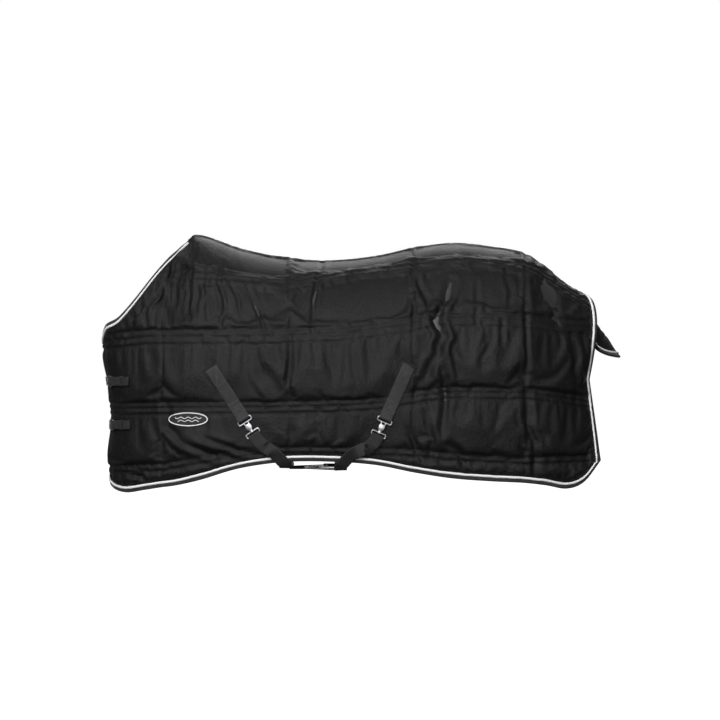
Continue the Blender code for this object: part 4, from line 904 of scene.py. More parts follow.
@dataclass
class ClothRelief:
    """The worn quilt's relief over its even thickness: stitched channels, puff, folds and wrinkles."""

    side: Side
    puff: float = 0.005
    channel_reach: float = 0.013
    base_sink: float = 0.0022
    seam_depth: float = 0.0022
    seam_width: float = 0.006
    growth: float = 0.03
    pressure: float = 1.6
    frames: int = 16
    coarse: int = 2
    cap: float = 0.0095

    def stitch_rows(self, base: Grid) -> list[Grid]:
        """Where each stitch line crosses each column of the grid, as fractional row numbers.

        Args:
            base: Points of the cloth's even outer face.

        Returns:
            One array of row numbers for each stitch line, not a number where it misses the column.
        """
        found = []
        steps = np.linalg.norm(np.diff(base, axis=1), axis=2).mean(axis=1)
        for band in QUILT_BANDS:
            xs, zs = np.array(band.line).T
            level = np.interp(base[:, :, 0], xs, zs)
            above = base[:, :, 2] - level
            outside = (base[:, :, 0] < xs[0]) | (base[:, :, 0] > xs[-1])
            middle = np.full(len(base), np.nan)
            for i in range(len(base)):
                cross = np.nonzero((above[i, :-1] > 0.0) & (above[i, 1:] <= 0.0) & ~outside[i, :-1])[0]
                if len(cross):
                    j = cross[0]
                    middle[i] = j + above[i, j] / (above[i, j] - above[i, j + 1])
            for offset in band.offsets:
                row = middle - offset / steps
                row[(row < 2.5) | (row > base.shape[1] - 3.5)] = np.nan
                found.append(row)
        return found

    def channels(self, base: Grid, rows: Sequence[Grid]) -> tuple[Grid, Grid]:
        """The puffed relief between stitch lines, and how firmly each point is held.

        Args:
            base: Points of the even outer face.
            rows: The stitch lines' row numbers.

        Returns:
            Heights in metres and a hold from 0 to 1.
        """
        steps = np.linalg.norm(np.diff(base, axis=1), axis=2).mean(axis=1)[:, None]
        numbers = np.arange(base.shape[1])[None, :]
        gap = np.full(base.shape[:2], 0.4)
        for row in rows:
            gap = np.fmin(gap, np.abs(numbers - row[:, None]) * steps)
        height = self.puff * (1.0 - np.exp(-gap / self.channel_reach)) - self.base_sink
        hold = np.exp(-(gap / 0.006) ** 2)
        for x in UPRIGHT_SEAMS:
            away = base[:, :, 0] - x - 0.004 * np.sin(base[:, :, 2] * 23.0 + x * 9.0)
            height -= self.seam_depth * np.exp(-(away / self.seam_width) ** 2)
            hold = np.maximum(hold, 0.55 * np.exp(-(away / 0.006) ** 2))
        return height, hold

    def folded(self, base: Grid) -> Grid:
        """The listed folds and swells, and the fine pleating at the withers."""
        shift, strength = (0.0, 1.0) if self.side is Side.NEAR else (0.035, 0.8)
        x, z = base[:, :, 0] + shift, base[:, :, 2]
        x = x + 0.006 * hashed_noise(x, z, 0.05, 0.05, 3)
        z = z + 0.006 * hashed_noise(x, z, 0.05, 0.05, 4)
        height = sum(fold.relief(x, z) for fold in FOLDS)
        height = height + sum(hollow.relief(x, z) for hollow in HOLLOWS)
        withers = np.exp(-((x + 0.03) / 0.22) ** 2 - ((z + 0.2) / 0.13) ** 2)
        lean = x + 0.25 * (z + 0.05)
        height = height + 0.0022 * withers * hashed_noise(lean, z, 0.017, 0.085, 5)
        height = height + 0.0011 * hashed_noise(x, z, 0.06, 0.04, 7)
        return height * strength

    def settled(self, base: Grid, hold: Grid) -> Grid:
        """Let the cloth settle between its stitch lines by cloth simulation.

        Args:
            base: Points of the shaped outer face.
            hold: How firmly each point is held, from 0 to 1.

        Returns:
            How far each point moves, capped.
        """
        rows = np.unique(np.append(np.arange(0, base.shape[0], self.coarse), base.shape[0] - 1))
        columns = np.unique(np.append(np.arange(0, base.shape[1], self.coarse), base.shape[1] - 1))
        points = base[np.ix_(rows, columns)]
        firm = hold[np.ix_(rows, columns)]
        mesh = bpy.data.meshes.new("settling")
        flip = self.side is Side.FAR
        mesh.from_pydata(points.reshape(-1, 3).tolist(), [], grid_faces(len(rows), len(columns), 0, flip))
        cloth = bpy.data.objects.new("settling", mesh)
        bpy.context.scene.collection.objects.link(cloth)
        group = cloth.vertex_groups.new(name="stitched")
        for index, weight in enumerate(firm.ravel()):
            if weight > 0.02:
                group.add([index], float(min(1.0, weight)), "REPLACE")
        change = cloth.modifiers.new("Cloth", "CLOTH")
        settings = change.settings
        settings.quality = 4
        settings.mass = 0.25
        settings.tension_stiffness = settings.compression_stiffness = 12.0
        settings.shear_stiffness = 4.0
        settings.bending_stiffness = 0.25
        settings.vertex_group_mass = "stitched"
        settings.pin_stiffness = 1.0
        settings.shrink_min = -self.growth
        settings.use_pressure = True
        settings.uniform_pressure_force = self.pressure
        settings.effector_weights.gravity = 0.35
        change.point_cache.frame_start, change.point_cache.frame_end = 1, self.frames
        scene = bpy.context.scene
        for number in range(1, self.frames + 1):
            scene.frame_set(number)
        done = cloth.evaluated_get(bpy.context.evaluated_depsgraph_get())
        after = np.empty(len(mesh.vertices) * 3)
        done.data.vertices.foreach_get("co", after)
        bpy.data.objects.remove(cloth)
        bpy.data.meshes.remove(mesh)
        scene.frame_set(1)
        moved = after.reshape(points.shape) - points
        length = np.linalg.norm(moved, axis=2, keepdims=True)
        moved *= np.minimum(1.0, self.cap / np.maximum(length, 1e-9))
        LOG.info("%s cloth settled: moved up to %.1f mm", self.side.word, 1000.0 * float(length.max()))
        return blurred(resized(moved, base.shape[:2]), 1)


@dataclass
class QuiltPanel:
    """One side panel: quilted outer pad, lining, binding tape, piping bead and quilting stitches."""

    side: Side
    shape: WornShape
    relief: ClothRelief
    edge_thickness: float = 0.0062
    seam_thickness: float = 0.0088
    lining_thickness: float = 0.0012
    tape_width: float = 0.0105
    tape_thickness: float = 0.0011
    bead_radius: float = 0.0044
    outer: Grid = field(init=False)
    inner: Grid = field(init=False)
    uvs: Grid = field(init=False)
    lines: list[Grid] = field(init=False)
    mane_row: int = field(init=False)

    def build_surfaces(self) -> None:
        """Work out the outer and inner faces of the quilt."""
        base, normals, self.mane_row = self.shape.grid()
        even = base + normals * self.shape.quilt
        down, along = run_length(base, 1), run_length(base)
        bound = np.minimum(np.minimum(down[:, -1:] - down, along), along[-1:] - along)
        neck = (np.arange(len(base)) <= self.mane_row)[:, None]
        bound = np.where(neck, np.minimum(bound, down), bound)
        self.lines = self.relief.stitch_rows(even)
        height, hold = self.relief.channels(even, self.lines)
        height = height + self.relief.folded(even)
        pressed = np.ones(base.shape[:2])
        for x, z, reach in FLAT_PLACES:
            pressed *= 1.0 - np.exp(-(((even[:, :, 0] - x) ** 2 + (even[:, :, 2] - z) ** 2) / reach ** 2))
        height = np.where(height > 0.0, height * pressed, height)
        free = smoothstep(bound, 0.01, 0.034)
        seam = np.where(neck, 1.0, smoothstep(down, 0.0, 0.028))
        shaped = even + normals * (height * free * seam)[:, :, None]
        fixed = np.maximum(hold, 1.0 - np.minimum(smoothstep(bound, 0.014, 0.04), seam))
        moved = self.relief.settled(shaped, fixed)
        moved *= (free * seam * pressed)[:, :, None]
        full, edge, crest = self.shape.quilt, self.edge_thickness, self.seam_thickness
        at_seam = np.where(neck, 1.0, smoothstep(down, 0.0, 0.022))
        thickness = np.minimum(edge + (full - edge) * smoothstep(bound, 0.012, 0.036),
                               crest + (full - crest) * at_seam)
        self.outer = base + normals * (thickness + height * free * seam)[:, :, None] + moved
        self.inner = base + normals * (-0.25 * height * free * seam)[:, :, None]
        past = np.arange(len(base)) >= self.mane_row
        for grid in (self.outer, self.inner):
            kept = self.side.value * np.maximum(self.side.value * grid[past, :, 1], self.shape.seam_half)
            grid[past, :, 1] = kept
        self.uvs = np.stack([along[:, base.shape[1] // 2][:, None] + 0.0 * down, down], axis=-1)

    def build_cloths(self, cloth: Material, lining: Material) -> None:
        """Make the padded outer and the lining.

        Args:
            cloth: The outer cloth's material.
            lining: The lining's material.
        """
        word = self.side.word
        flip = self.side is Side.FAR
        thin = unit(self.outer - self.inner) * self.lining_thickness
        pad = closed_sheet(word + "_quilt", self.outer, self.inner + thin * 1.25, self.uvs, flip, cloth)
        placed(pad, "rug", (word + "_outer_cloth", word + "_filling"))
        rows = np.unique(np.append(np.arange(0, len(self.inner), 2), len(self.inner) - 1))
        columns = np.unique(np.append(np.arange(0, self.inner.shape[1], 2), self.inner.shape[1] - 1))
        pick = np.ix_(rows, columns)
        sheet = closed_sheet(word + "_lining_cloth", (self.inner + thin)[pick], self.inner[pick],
                             self.uvs[pick], flip, lining)
        placed(sheet, "rug", (word + "_lining",))

    def _inward(self, edge: Edge) -> tuple[Grid, Grid]:
        """Outer and inner points of the border and of seven rows inside it, along one edge."""
        last_i, last_j = self.outer.shape[0] - 1, self.outer.shape[1] - 1
        everything = slice(None)
        take = [{Edge.TOP: (slice(0, self.mane_row + 1), k), Edge.FRONT: (k, everything),
                 Edge.HEM: (everything, last_j - k), Edge.REAR: (last_i - k, everything)}[edge]
                for k in range(8)]
        outer, inner = (np.stack([surface[t] for t in take], axis=1) for surface in (self.outer, self.inner))
        return outer, inner

    def border(self) -> tuple[Grid, Grid]:
        """Outer and inner points from the border inwards, round the bound edges in one run.

        Returns:
            Two arrays of (place along the border, step inwards, 3), from the mane down the neck and chest
            edges, along the hem and up the rear edge to the spine.
        """
        outers, inners = [], []
        clear = 4
        last_i, last_j = self.outer.shape[0] - 1, self.outer.shape[1] - 1
        for edge, backwards, first, final in ((Edge.TOP, True, 0, clear), (Edge.FRONT, False, clear, clear),
                                              (Edge.HEM, False, clear, clear), (Edge.REAR, True, clear, 0)):
            outer, inner = self._inward(edge)
            if backwards:
                outer, inner = outer[::-1], inner[::-1]
            stop = len(outer) - final
            outers.append(outer[first:stop])
            inners.append(inner[first:stop])
            spot = {Edge.TOP: (0, 0, 1, 1), Edge.FRONT: (0, last_j, 1, -1),
                    Edge.HEM: (last_i, last_j, -1, -1)}.get(edge)
            if spot:
                i, j, di, dj = spot
                for rows, surface in ((outers, self.outer), (inners, self.inner)):
                    rows.append(np.stack([surface[i + di * k, j + dj * k] for k in range(8)])[None])
        return np.concatenate(outers), np.concatenate(inners)

    def build_edges(self, tape: Material, piping: Material) -> None:
        """Fold the binding tape round the border and lay the piping bead inside it.

        Args:
            tape: The tape's material.
            piping: The bead's material.
        """
        word = self.side.word
        outer, inner = self.border()
        binding = folded_tape(word + "_binding", outer, inner, self.tape_width, self.tape_thickness, tape)
        bead = piped_bead(word + "_piping", outer, inner, self.tape_width, self.bead_radius, piping)
        for piece, slot, kind in ((binding, "binding_tape", "binding"), (bead, "piping", "piping")):
            placed(piece, "rug", [f"{word}_{edge}_{kind}" for edge in ("neck", "chest", "hem", "rear")])

    def build_stitches(self, thread: Material) -> None:
        """Sew the quilting lines with separate stitches.

        Args:
            thread: The thread's material.
        """
        runs = []
        normals = grid_normals(self.outer, self.side.value)
        for row in self.lines:
            held = ~np.isnan(row)
            for piece in np.split(np.arange(len(row)), np.nonzero(~held)[0]):
                piece = piece[held[piece]]
                if len(piece) < 8:
                    continue
                low = np.floor(row[piece]).astype(int)
                t = (row[piece] - low)[:, None]
                points = self.outer[piece, low] * (1.0 - t) + self.outer[piece, low + 1] * t
                runs.append((points, normals[piece, low]))
        made = stitched(self.side.word + "_quilting_stitches", runs, 0.006, 0.0078, 0.0011, thread)
        placed(made, "rug")


def along_rows(rows: Grid, depth: float) -> tuple[Grid, Grid]:
    """Read border rows at a depth in from the edge.

    Args:
        rows: Points as (place, step inwards, 3).
        depth: Distance in from the edge.

    Returns:
        The points there, and the unit directions inwards.
    """
    reach = run_length(rows, 1)
    scale = reach[:, -1] / np.median(reach[:, -1])
    want = depth * np.maximum(1.0, scale)
    points = np.empty((len(rows), 3))
    for i in range(len(rows)):
        for k in range(3):
            points[i, k] = np.interp(want[i], reach[i], rows[i, :, k])
    return points, unit(rows[:, 2] - rows[:, 0])


def folded_tape(name: str, outer: Grid, inner: Grid, width: float, thickness: float,
                finish: Material) -> Object:
    """A tape folded over a border, rounded over its fold and thin at its lips.

    Args:
        name: The piece's name.
        outer: Outer border rows.
        inner: Inner border rows.
        width: How far the tape reaches in.
        thickness: The tape's own thickness.
        finish: The material.

    Returns:
        The new object.
    """
    edge_out, inward = along_rows(outer, 0.0)
    edge_in, _ = along_rows(inner, 0.0)
    up = unit(edge_out - edge_in)
    gap = 0.00025
    wave = 0.00035 * np.sin(run_length(edge_out) * 190.0)[:, None] * up
    outside, inside = [], []
    for depth in (width, width * 0.72, width * 0.4, 0.0008):
        top, _ = along_rows(outer, depth)
        low, _ = along_rows(inner, depth)
        outside.append((top + up * gap + wave, top + up * (gap + thickness) + wave))
        inside.append((low - up * gap, low - up * (gap + thickness)))
    middle = (edge_out + edge_in) / 2.0
    half = np.linalg.norm(edge_out - edge_in, axis=1, keepdims=True) / 2.0
    ring = [outside[0][1] - up * thickness * 0.45 - inward * 0.0002]
    ring += [pair[1] for pair in outside]
    for angle in (60.0, 30.0, 0.0, -30.0, -60.0):
        turn = math.radians(angle)
        ring.append(middle - inward * ((thickness + 0.0012) * math.cos(turn))
                    + up * (half + thickness) * math.sin(turn))
    ring += [pair[1] for pair in reversed(inside)]
    ring += [pair[0] for pair in inside]
    ring.append(middle + inward * 0.0001 - up * half * 0.6)
    ring.append(middle + inward * 0.0001 + up * half * 0.6)
    ring += [pair[0] for pair in reversed(outside)]
    return swept(name, np.stack(ring, axis=1), run_length(edge_out), finish)


def piped_bead(name: str, outer: Grid, inner: Grid, width: float, radius: float,
               finish: Material) -> Object:
    """A round bead that lies on the cloth just inside a folded tape.

    Args:
        name: The piece's name.
        outer: Outer border rows.
        inner: Inner border rows.
        width: The tape's width.
        radius: The bead's radius.
        finish: The material.

    Returns:
        The new object.
    """
    foot, inward = along_rows(outer, width + radius * 0.9)
    low, _ = along_rows(inner, width + radius * 0.9)
    up = unit(foot - low)
    centre = foot + up * radius * 0.45
    return swept(name, rings_round(centre, inward * radius, up * radius * 0.86, 12), run_length(centre),
                 finish)


def stitched(name: str, runs: Sequence[tuple[Grid, Grid]], length: float, pitch: float, width: float,
             finish: Material) -> Object:
    """Separate stitches along lines on the cloth.

    Args:
        name: The piece's name.
        runs: Lines of points and the cloth's normals there.
        length: One stitch's length.
        pitch: From one stitch to the next.
        width: The thread's width.
        finish: The material.

    Returns:
        The new object.
    """
    points, faces = [], []
    block = ((0, 2, 3, 1), (0, 1, 5, 4), (2, 6, 7, 3), (0, 4, 6, 2), (1, 3, 7, 5), (4, 5, 7, 6))
    for line, normals in runs:
        reach = run_length(line)
        starts = np.arange(0.0, reach[-1] - length, pitch)
        for start in starts:
            ends = []
            for at in (start, start + length / 2.0, start + length):
                ends.append(np.array([np.interp(at, reach, line[:, k]) for k in range(3)]))
            up = normals[min(int(np.searchsorted(reach, start)), len(normals) - 1)]
            run = unit(ends[2] - ends[0])
            side = unit(np.cross(up, run)) * width / 2.0
            first = len(points)
            rise = up * width * 0.62
            for spot, foot, top, low, high in ((ends[0], 0.5, 0.5, -0.4, 0.2), (ends[1], 1.0, 0.8, -0.2, 1.0),
                                               (ends[2], 0.5, 0.5, -0.4, 0.2)):
                for share, lift in ((foot, low), (top, high)):
                    points += [spot - side * share + rise * lift, spot + side * share + rise * lift]
            for shift, sides in ((0, block[:5]), (4, block[1:])):
                faces += [tuple(first + shift + corner for corner in face) for face in sides]
    made = mesh_object(name, np.array(points), faces, np.zeros((len(points), 2)), finish)
    turned_outward(made)
    return made


# ------------------------------------------------------------------ webbing laid on the cloth

@dataclass
class ClothFace:
    """The finished outer faces of both sides, for laying things on them."""

    tree: BVHTree

    @classmethod
    def of(cls, panels: Sequence[QuiltPanel]) -> "ClothFace":
        """Gather the outer faces of the panels."""
        points, faces, start = [], [], 0
        for panel in panels:
            rows, columns = panel.outer.shape[:2]
            points += panel.outer.reshape(-1, 3).tolist()
            faces += grid_faces(rows, columns, start)
            start += rows * columns
        return cls(BVHTree.FromPolygons(points, faces))

    def at_side(self, side: Side, x: float, z: float) -> tuple[Vector, Vector]:
        """Point and outward normal where a side view sees (x, z)."""
        way = Vector((0.0, -side.value, 0.0))
        spot, normal, _, _ = self.tree.ray_cast(Vector((x, side.value * 2.0, z)), way)
        if spot is None:
            spot, normal, _, _ = self.tree.find_nearest(Vector((x, side.value * 0.25, z)))
        return spot, (normal if normal.dot(way) < 0.0 else -normal)

    def at_chest(self, angle: float, z: float, axis_x: float = -0.085) -> tuple[Vector, Vector]:
        """Point and outward normal at an angle round the chest's upright axis."""
        out = Vector((-math.cos(math.radians(angle)), -math.sin(math.radians(angle)), 0.0))
        spot, normal, _, _ = self.tree.ray_cast(Vector((axis_x, 0.0, z)) + out * 2.0, -out)
        return spot, (normal if normal.dot(out) > 0.0 else -normal)

    def station(self, side: Side, spot: Vector, heading: Vector, height: float,
                width: float) -> tuple[Vector, Vector, Vector]:
        """A webbing station on the cloth.

        Args:
            side: Which side it lies on.
            spot: Side-view (x, z).
            heading: Side-view direction of the webbing.
            height: Height of the webbing's middle over the cloth.
            width: The webbing's width.

        Returns:
            Its centre, half-width vector and outward normal.
        """
        reach = Vector((-heading.y, heading.x)).normalized() * (width / 2.0)
        ends, ups = [], []
        for share in (-1.0, 0.0, 1.0):
            point, normal = self.at_side(side, spot.x + reach.x * share, spot.y + reach.y * share)
            ends.append(point)
            ups.append(normal)
        across = (ends[2] - ends[0]) / 2.0
        up = (ups[0] + ups[1] + ups[2]).normalized()
        up = (up - across * (up.dot(across) / across.length_squared)).normalized()
        proud = max((ends[1] - (ends[0] + ends[2]) / 2.0).dot(up), 0.0)
        centre = (ends[0] + ends[2]) / 2.0 + up * (height + proud)
        return centre, across.normalized() * (width / 2.0), up


@dataclass
class Webbing:
    """A length of webbing through stations, with rounded selvedges."""

    name: str
    width: float
    thickness: float = 0.0022
    step: float = 0.006

    def mesh(self, stations: Sequence[Station], finish: Material) -> Object:
        """Sweep the webbing through its stations.

        Args:
            stations: Centres, half-width vectors and outward normals.
            finish: The material.

        Returns:
            The new object.
        """
        centres = np.array([s[0] for s in stations])
        halves = [Vector(s[1]) for s in stations]
        for k in range(1, len(halves)):
            if halves[k].dot(halves[k - 1]) < 0.0:
                halves[k] = -halves[k]
        sides = np.array([h.normalized() for h in halves])
        reach = run_length(centres)
        numbers = np.arange(len(centres))
        at_run = np.unique(np.concatenate([np.arange(0.0, reach[-1], self.step), reach]))
        keep = np.concatenate([[True], np.diff(at_run) > 0.0004])
        at_run = at_run[keep]
        at = np.interp(at_run, reach, numbers)
        path = catmull(centres, at)
        across = unit(catmull(sides, at))
        ahead = unit(np.gradient(path, axis=0))
        up = unit(np.cross(ahead, across))
        across = unit(np.cross(up, ahead))
        half, rise = self.width / 2.0, self.thickness / 2.0
        profile = ((-1.0, 0.0), (-0.975, 0.75), (-0.9, 1.0), (-0.45, 1.0), (0.0, 1.0), (0.45, 1.0),
                   (0.9, 1.0), (0.975, 0.75), (1.0, 0.0), (0.975, -0.75), (0.9, -1.0), (0.45, -1.0),
                   (0.0, -1.0), (-0.45, -1.0), (-0.9, -1.0), (-0.975, -0.75))
        ring = [path + across * half * a + up * rise * b for a, b in profile]
        return swept(self.name, np.stack(ring, axis=1), run_length(path), finish)


def webbed(name: str, width: float, thickness: float, stations: Sequence[Station],
           finish: Material, node: str) -> None:
    """Make a length of webbing in the place of a CAD node.

    Args:
        name: The piece's name.
        width: The webbing's width.
        thickness: Its thickness.
        stations: Centres, half-width vectors and outward normals.
        finish: The material.
        node: The CAD node that it stands for.
    """
    placed(Webbing(name, width, thickness).mesh(stations, finish), "rug", (node,))


def bar_turn(bar: Vector, down: Vector, up: Vector, half: Vector, radius: float,
             steps: int = 8) -> list[Station]:
    """Webbing turned round a bar, from its under side over the far end of down to its upper side."""
    stations = []
    for k in range(steps + 1):
        angle = math.pi * (k / steps - 0.5)
        out = down * math.cos(angle) + up * math.sin(angle)
        stations.append((bar + out * radius, half, out))
    return stations


def joint_facts(name: str) -> tuple[Vector, Vector]:
    """Position and axis of one of the frame's joints."""
    for each in frame["joints"]:
        if each["name"] == name:
            return Vector(each.get("pos_m") or (0.0, 0.0, 0.0)), Vector(each["axis"]).normalized()
    raise KeyError(name)


def clip_axes(word: str) -> tuple[Vector, Vector, Vector, Vector, Vector]:
    """A clip's hook bar and loop bar, and its directions across the webbing, down it and off the cloth."""
    bar, axis = joint_facts(word + "_hook_swing")
    loop, _ = joint_facts(word + "_loop_swing")
    across, down = -axis, (loop - bar).normalized()
    up = down.cross(across).normalized()
    return bar, loop, across, down, (up if up.y < 0.0 else -up)


def framed(origin: Vector, across: Vector, down: Vector, up: Vector) -> Matrix:
    """The matrix of a piece's own axes in the world."""
    return Matrix([[across[r], down[r], up[r], origin[r]] for r in range(3)] + [[0.0, 0.0, 0.0, 1.0]])


def wire(points: Grid, radius_out: float, radius_up: float, up: Vector, sides: int = 12) -> Grid:
    """Sections of an oval wire bent round a closed line.

    Args:
        points: The closed line.
        radius_out: Half the wire's width in the line's plane.
        radius_up: Half its height.
        up: The plane's normal.
        sides: Corners of the section.

    Returns:
        Points as (section, corner, 3).
    """
    ahead = unit(np.roll(points, -1, axis=0) - np.roll(points, 1, axis=0))
    out = unit(np.cross(ahead, np.array(up)))
    return rings_round(points, out * radius_out, np.array(up) * radius_up, sides)


@dataclass
class SurcingleClip:
    """One clip: sewn webbing tab, hook with its webbing frame, and the loop that it holds."""

    word: str
    top: tuple[float, float]
    end: tuple[float, float]
    web_width: float = 0.044
    web_thickness: float = 0.0022
    seat: float = 0.0007
    turn_radius: float = 0.0038
    span: float = 0.013
    side_gap: float = 0.001
    bar_half_width: float = 0.002
    bar_half_height: float = 0.0016
    neck: float = 0.0417
    fold: float = 0.055

    def _frame_line(self, corner: float = 0.003) -> Grid:
        """The closed line of a webbing frame with round corners, from Y = 0 to the span."""
        half = self.web_width / 2.0 + self.side_gap + self.bar_half_width
        points = []
        for x, y, first in ((half - corner, self.span - corner, 0.0),
                            (corner - half, self.span - corner, 90.0), (corner - half, corner, 180.0),
                            (half - corner, corner, 270.0)):
            for k in range(7):
                turn = math.radians(first + 15.0 * k)
                points.append((x + corner * math.cos(turn), y + corner * math.sin(turn), 0.0))
        return np.array(points)

    def build_hook(self, steel: Material) -> None:
        """Cast the hook: its frame, waist, pierced oval head and turned lip."""
        bar, _, across, down, up = clip_axes(self.word)
        matrix = framed(bar, across, down, up)
        line = self._frame_line()
        ring = wire(line, self.bar_half_width, self.bar_half_height, Vector((0.0, 0.0, 1.0)))
        frame_piece = swept(self.word + "_hook_frame", self._moved(ring, matrix), run_length(line), steel,
                            True)
        over = 0.0032
        lip = self.span + self.neck
        spine = ((self.span + 0.0085, over * 0.8, 0.015, 0.0013), (self.span + 0.0115, over, 0.02, 0.0014),
                 (self.span + 0.015, over, 0.0226, 0.0015), (self.span + 0.0195, over, 0.023, 0.0015),
                 (self.span + 0.024, over, 0.0212, 0.0015), (self.span + 0.0275, over, 0.0165, 0.0014),
                 (self.span + 0.031, over, 0.0122, 0.0013), (lip - 0.005, over, 0.0118, 0.0013),
                 (lip - 0.002, over, 0.0124, 0.0012), (lip - 0.0004, over * 0.7, 0.0124, 0.0011),
                 (lip, over * 0.3, 0.0118, 0.0011), (lip, -0.0012, 0.011, 0.001))
        profile = ((-1.0, 0.0), (-0.93, 0.7), (-0.78, 1.0), (0.78, 1.0), (0.93, 0.7), (1.0, 0.0),
                   (0.93, -0.7), (0.78, -1.0), (-0.78, -1.0), (-0.93, -0.7))
        body = catmull(np.array(spine), np.linspace(0.0, len(spine) - 1.0, 37))
        ahead = unit(np.gradient(body[:, :2], axis=0))
        sections = []
        for (run, height, width, half), (ay, az) in zip(body, ahead):
            rise = np.array((0.0, -az, ay)) * half
            centre = np.array((0.0, run, height))
            side = np.array((width / 2.0, 0.0, 0.0))
            sections.append([centre + side * a + rise * b for a, b in profile])
        head = swept(self.word + "_hook_head", self._moved(np.array(sections), matrix),
                     run_length(body[:, :3]), steel)
        studs = []
        for way in (-1.0, 1.0):
            prong = np.array(((0.0088 * way, self.span - 0.0008, 0.0),
                              (0.0084 * way, self.span + 0.003, 0.0008),
                              (0.0072 * way, self.span + 0.0066, over * 0.8),
                              (0.0056 * way, self.span + 0.0105, over)))
            line = catmull(prong, np.linspace(0.0, 3.0, 13))
            tube = wire(line, 0.0019, 0.0015, Vector((0.0, 0.0, 1.0)), 10)
            tube[0], tube[-1] = 2.0 * tube[1] - tube[2], 2.0 * tube[-2] - tube[-3]
            studs.append(swept(self.word + "_hook_prong", self._moved(tube, matrix), run_length(line), steel))
        for x in (-0.0052, 0.0052):
            rings = []
            for radius, height in ((0.0021, over + 0.001), (0.0024, over + 0.0016), (0.0017, over + 0.002),
                                   (0.0011, over + 0.0012), (0.0003, over + 0.001)):
                rings.append([(x + radius * math.cos(a), self.span + 0.018 + radius * math.sin(a), height)
                              for a in np.linspace(0.0, 2.0 * math.pi, 14, endpoint=False)])
            studs.append(swept(self.word + "_hook_eye", self._moved(np.array(rings), matrix),
                               np.linspace(0.0, 0.003, 5), steel))
        placed(joined(self.word + "_clip_hook", [frame_piece, head, *studs]), self.word + "_hook",
               (self.word + "_hook",))

    def build_loop(self, steel: Material) -> None:
        """Bend the loop that the hook holds."""
        _, loop, across, down, up = clip_axes(self.word)
        matrix = framed(loop - down * self.span, across, down, up)
        line = self._frame_line()
        ring = wire(line, self.bar_half_width, self.bar_half_height, Vector((0.0, 0.0, 1.0)))
        made = swept(self.word + "_clip_loop", self._moved(ring, matrix), run_length(line), steel, True)
        placed(made, self.word + "_loop", (self.word + "_loop",))

    @staticmethod
    def _moved(sections: Grid, matrix: Matrix) -> Grid:
        """Section points moved from the clip's own axes into the world."""
        turn = np.array(matrix.to_3x3())
        return sections @ turn.T + np.array(matrix.translation)

    def build_tab(self, face: ClothFace, webbing: Material, thread: Material) -> None:
        """Sew the tab on the near side and turn it round the hook's bar.

        Args:
            face: The cloth that it lies on.
            webbing: The webbing's material.
            thread: The stitches' material.
        """
        bar, _, across, down, up = clip_axes(self.word)
        start, finish = Vector(self.top), Vector(self.end)
        heading, length = (finish - start).normalized(), (finish - start).length
        low = self.seat + self.web_thickness / 2.0
        high = low + self.web_thickness + 0.0002
        half = across * (self.web_width / 2.0)
        stations = [face.station(Side.NEAR, start + heading * length * share, heading, low, self.web_width)
                    for share in (0.0, 0.12, 0.25, 0.38, 0.5, 0.62, 0.74, 0.84)]
        stations += bar_turn(bar, down, up, half, self.turn_radius)
        stations += [face.station(Side.NEAR, finish - heading * run, heading, high, self.web_width)
                     for run in (0.018, 0.03, 0.042, 0.055, 0.068)]
        webbed(self.word + "_tab_webbing", self.web_width, self.web_thickness, stations, webbing,
               self.word + "_surcingle_tab")
        inset = 0.0045
        lines = []
        for lift, begin, box in ((low, 0.004, 0.06), (high, length - 0.064, 0.04)):
            corners = [(-1, begin), (1, begin), (1, begin + box), (-1, begin + box), (-1, begin),
                       (1, begin + box), (1, begin), (-1, begin + box)]
            points, ups = [], []
            for (ax, ay), (bx, by) in zip(corners, corners[1:]):
                for t in np.linspace(0.0, 1.0, 9):
                    spot, reach, out = face.station(Side.NEAR, start + heading * (ay + (by - ay) * t),
                                                    heading, lift, self.web_width)
                    share = (ax + (bx - ax) * t) * (1.0 - 2.0 * inset / self.web_width)
                    points.append(spot + reach * share + out * (self.web_thickness / 2.0 + 0.0002))
                    ups.append(out)
            lines.append((np.array(points), np.array(ups)))
        sewn = stitched(self.word + "_tab_stitches", lines, 0.0034, 0.0046, 0.0009, thread)
        placed(sewn, "rug")


@dataclass
class SewnPatch:
    """The reinforcing patch of outer cloth under a tab's top."""

    word: str
    side: Side
    top: tuple[float, float]
    end: tuple[float, float]
    width: float = 0.062
    length: float = 0.075
    margin: float = 0.009
    thickness: float = 0.0009

    def build(self, face: ClothFace, cloth: Material) -> None:
        """Lay the patch on the cloth."""
        start, finish = Vector(self.top), Vector(self.end)
        heading = (finish - start).normalized()
        first = start - heading * self.margin
        stations = [face.station(self.side, first + heading * self.length * share, heading, -0.0004,
                                 self.width) for share in np.linspace(0.0, 1.0, 9)]
        name = f"{self.side.word}_{self.word}_patch"
        webbed(name + "_cloth", self.width, self.thickness, stations, cloth, name)


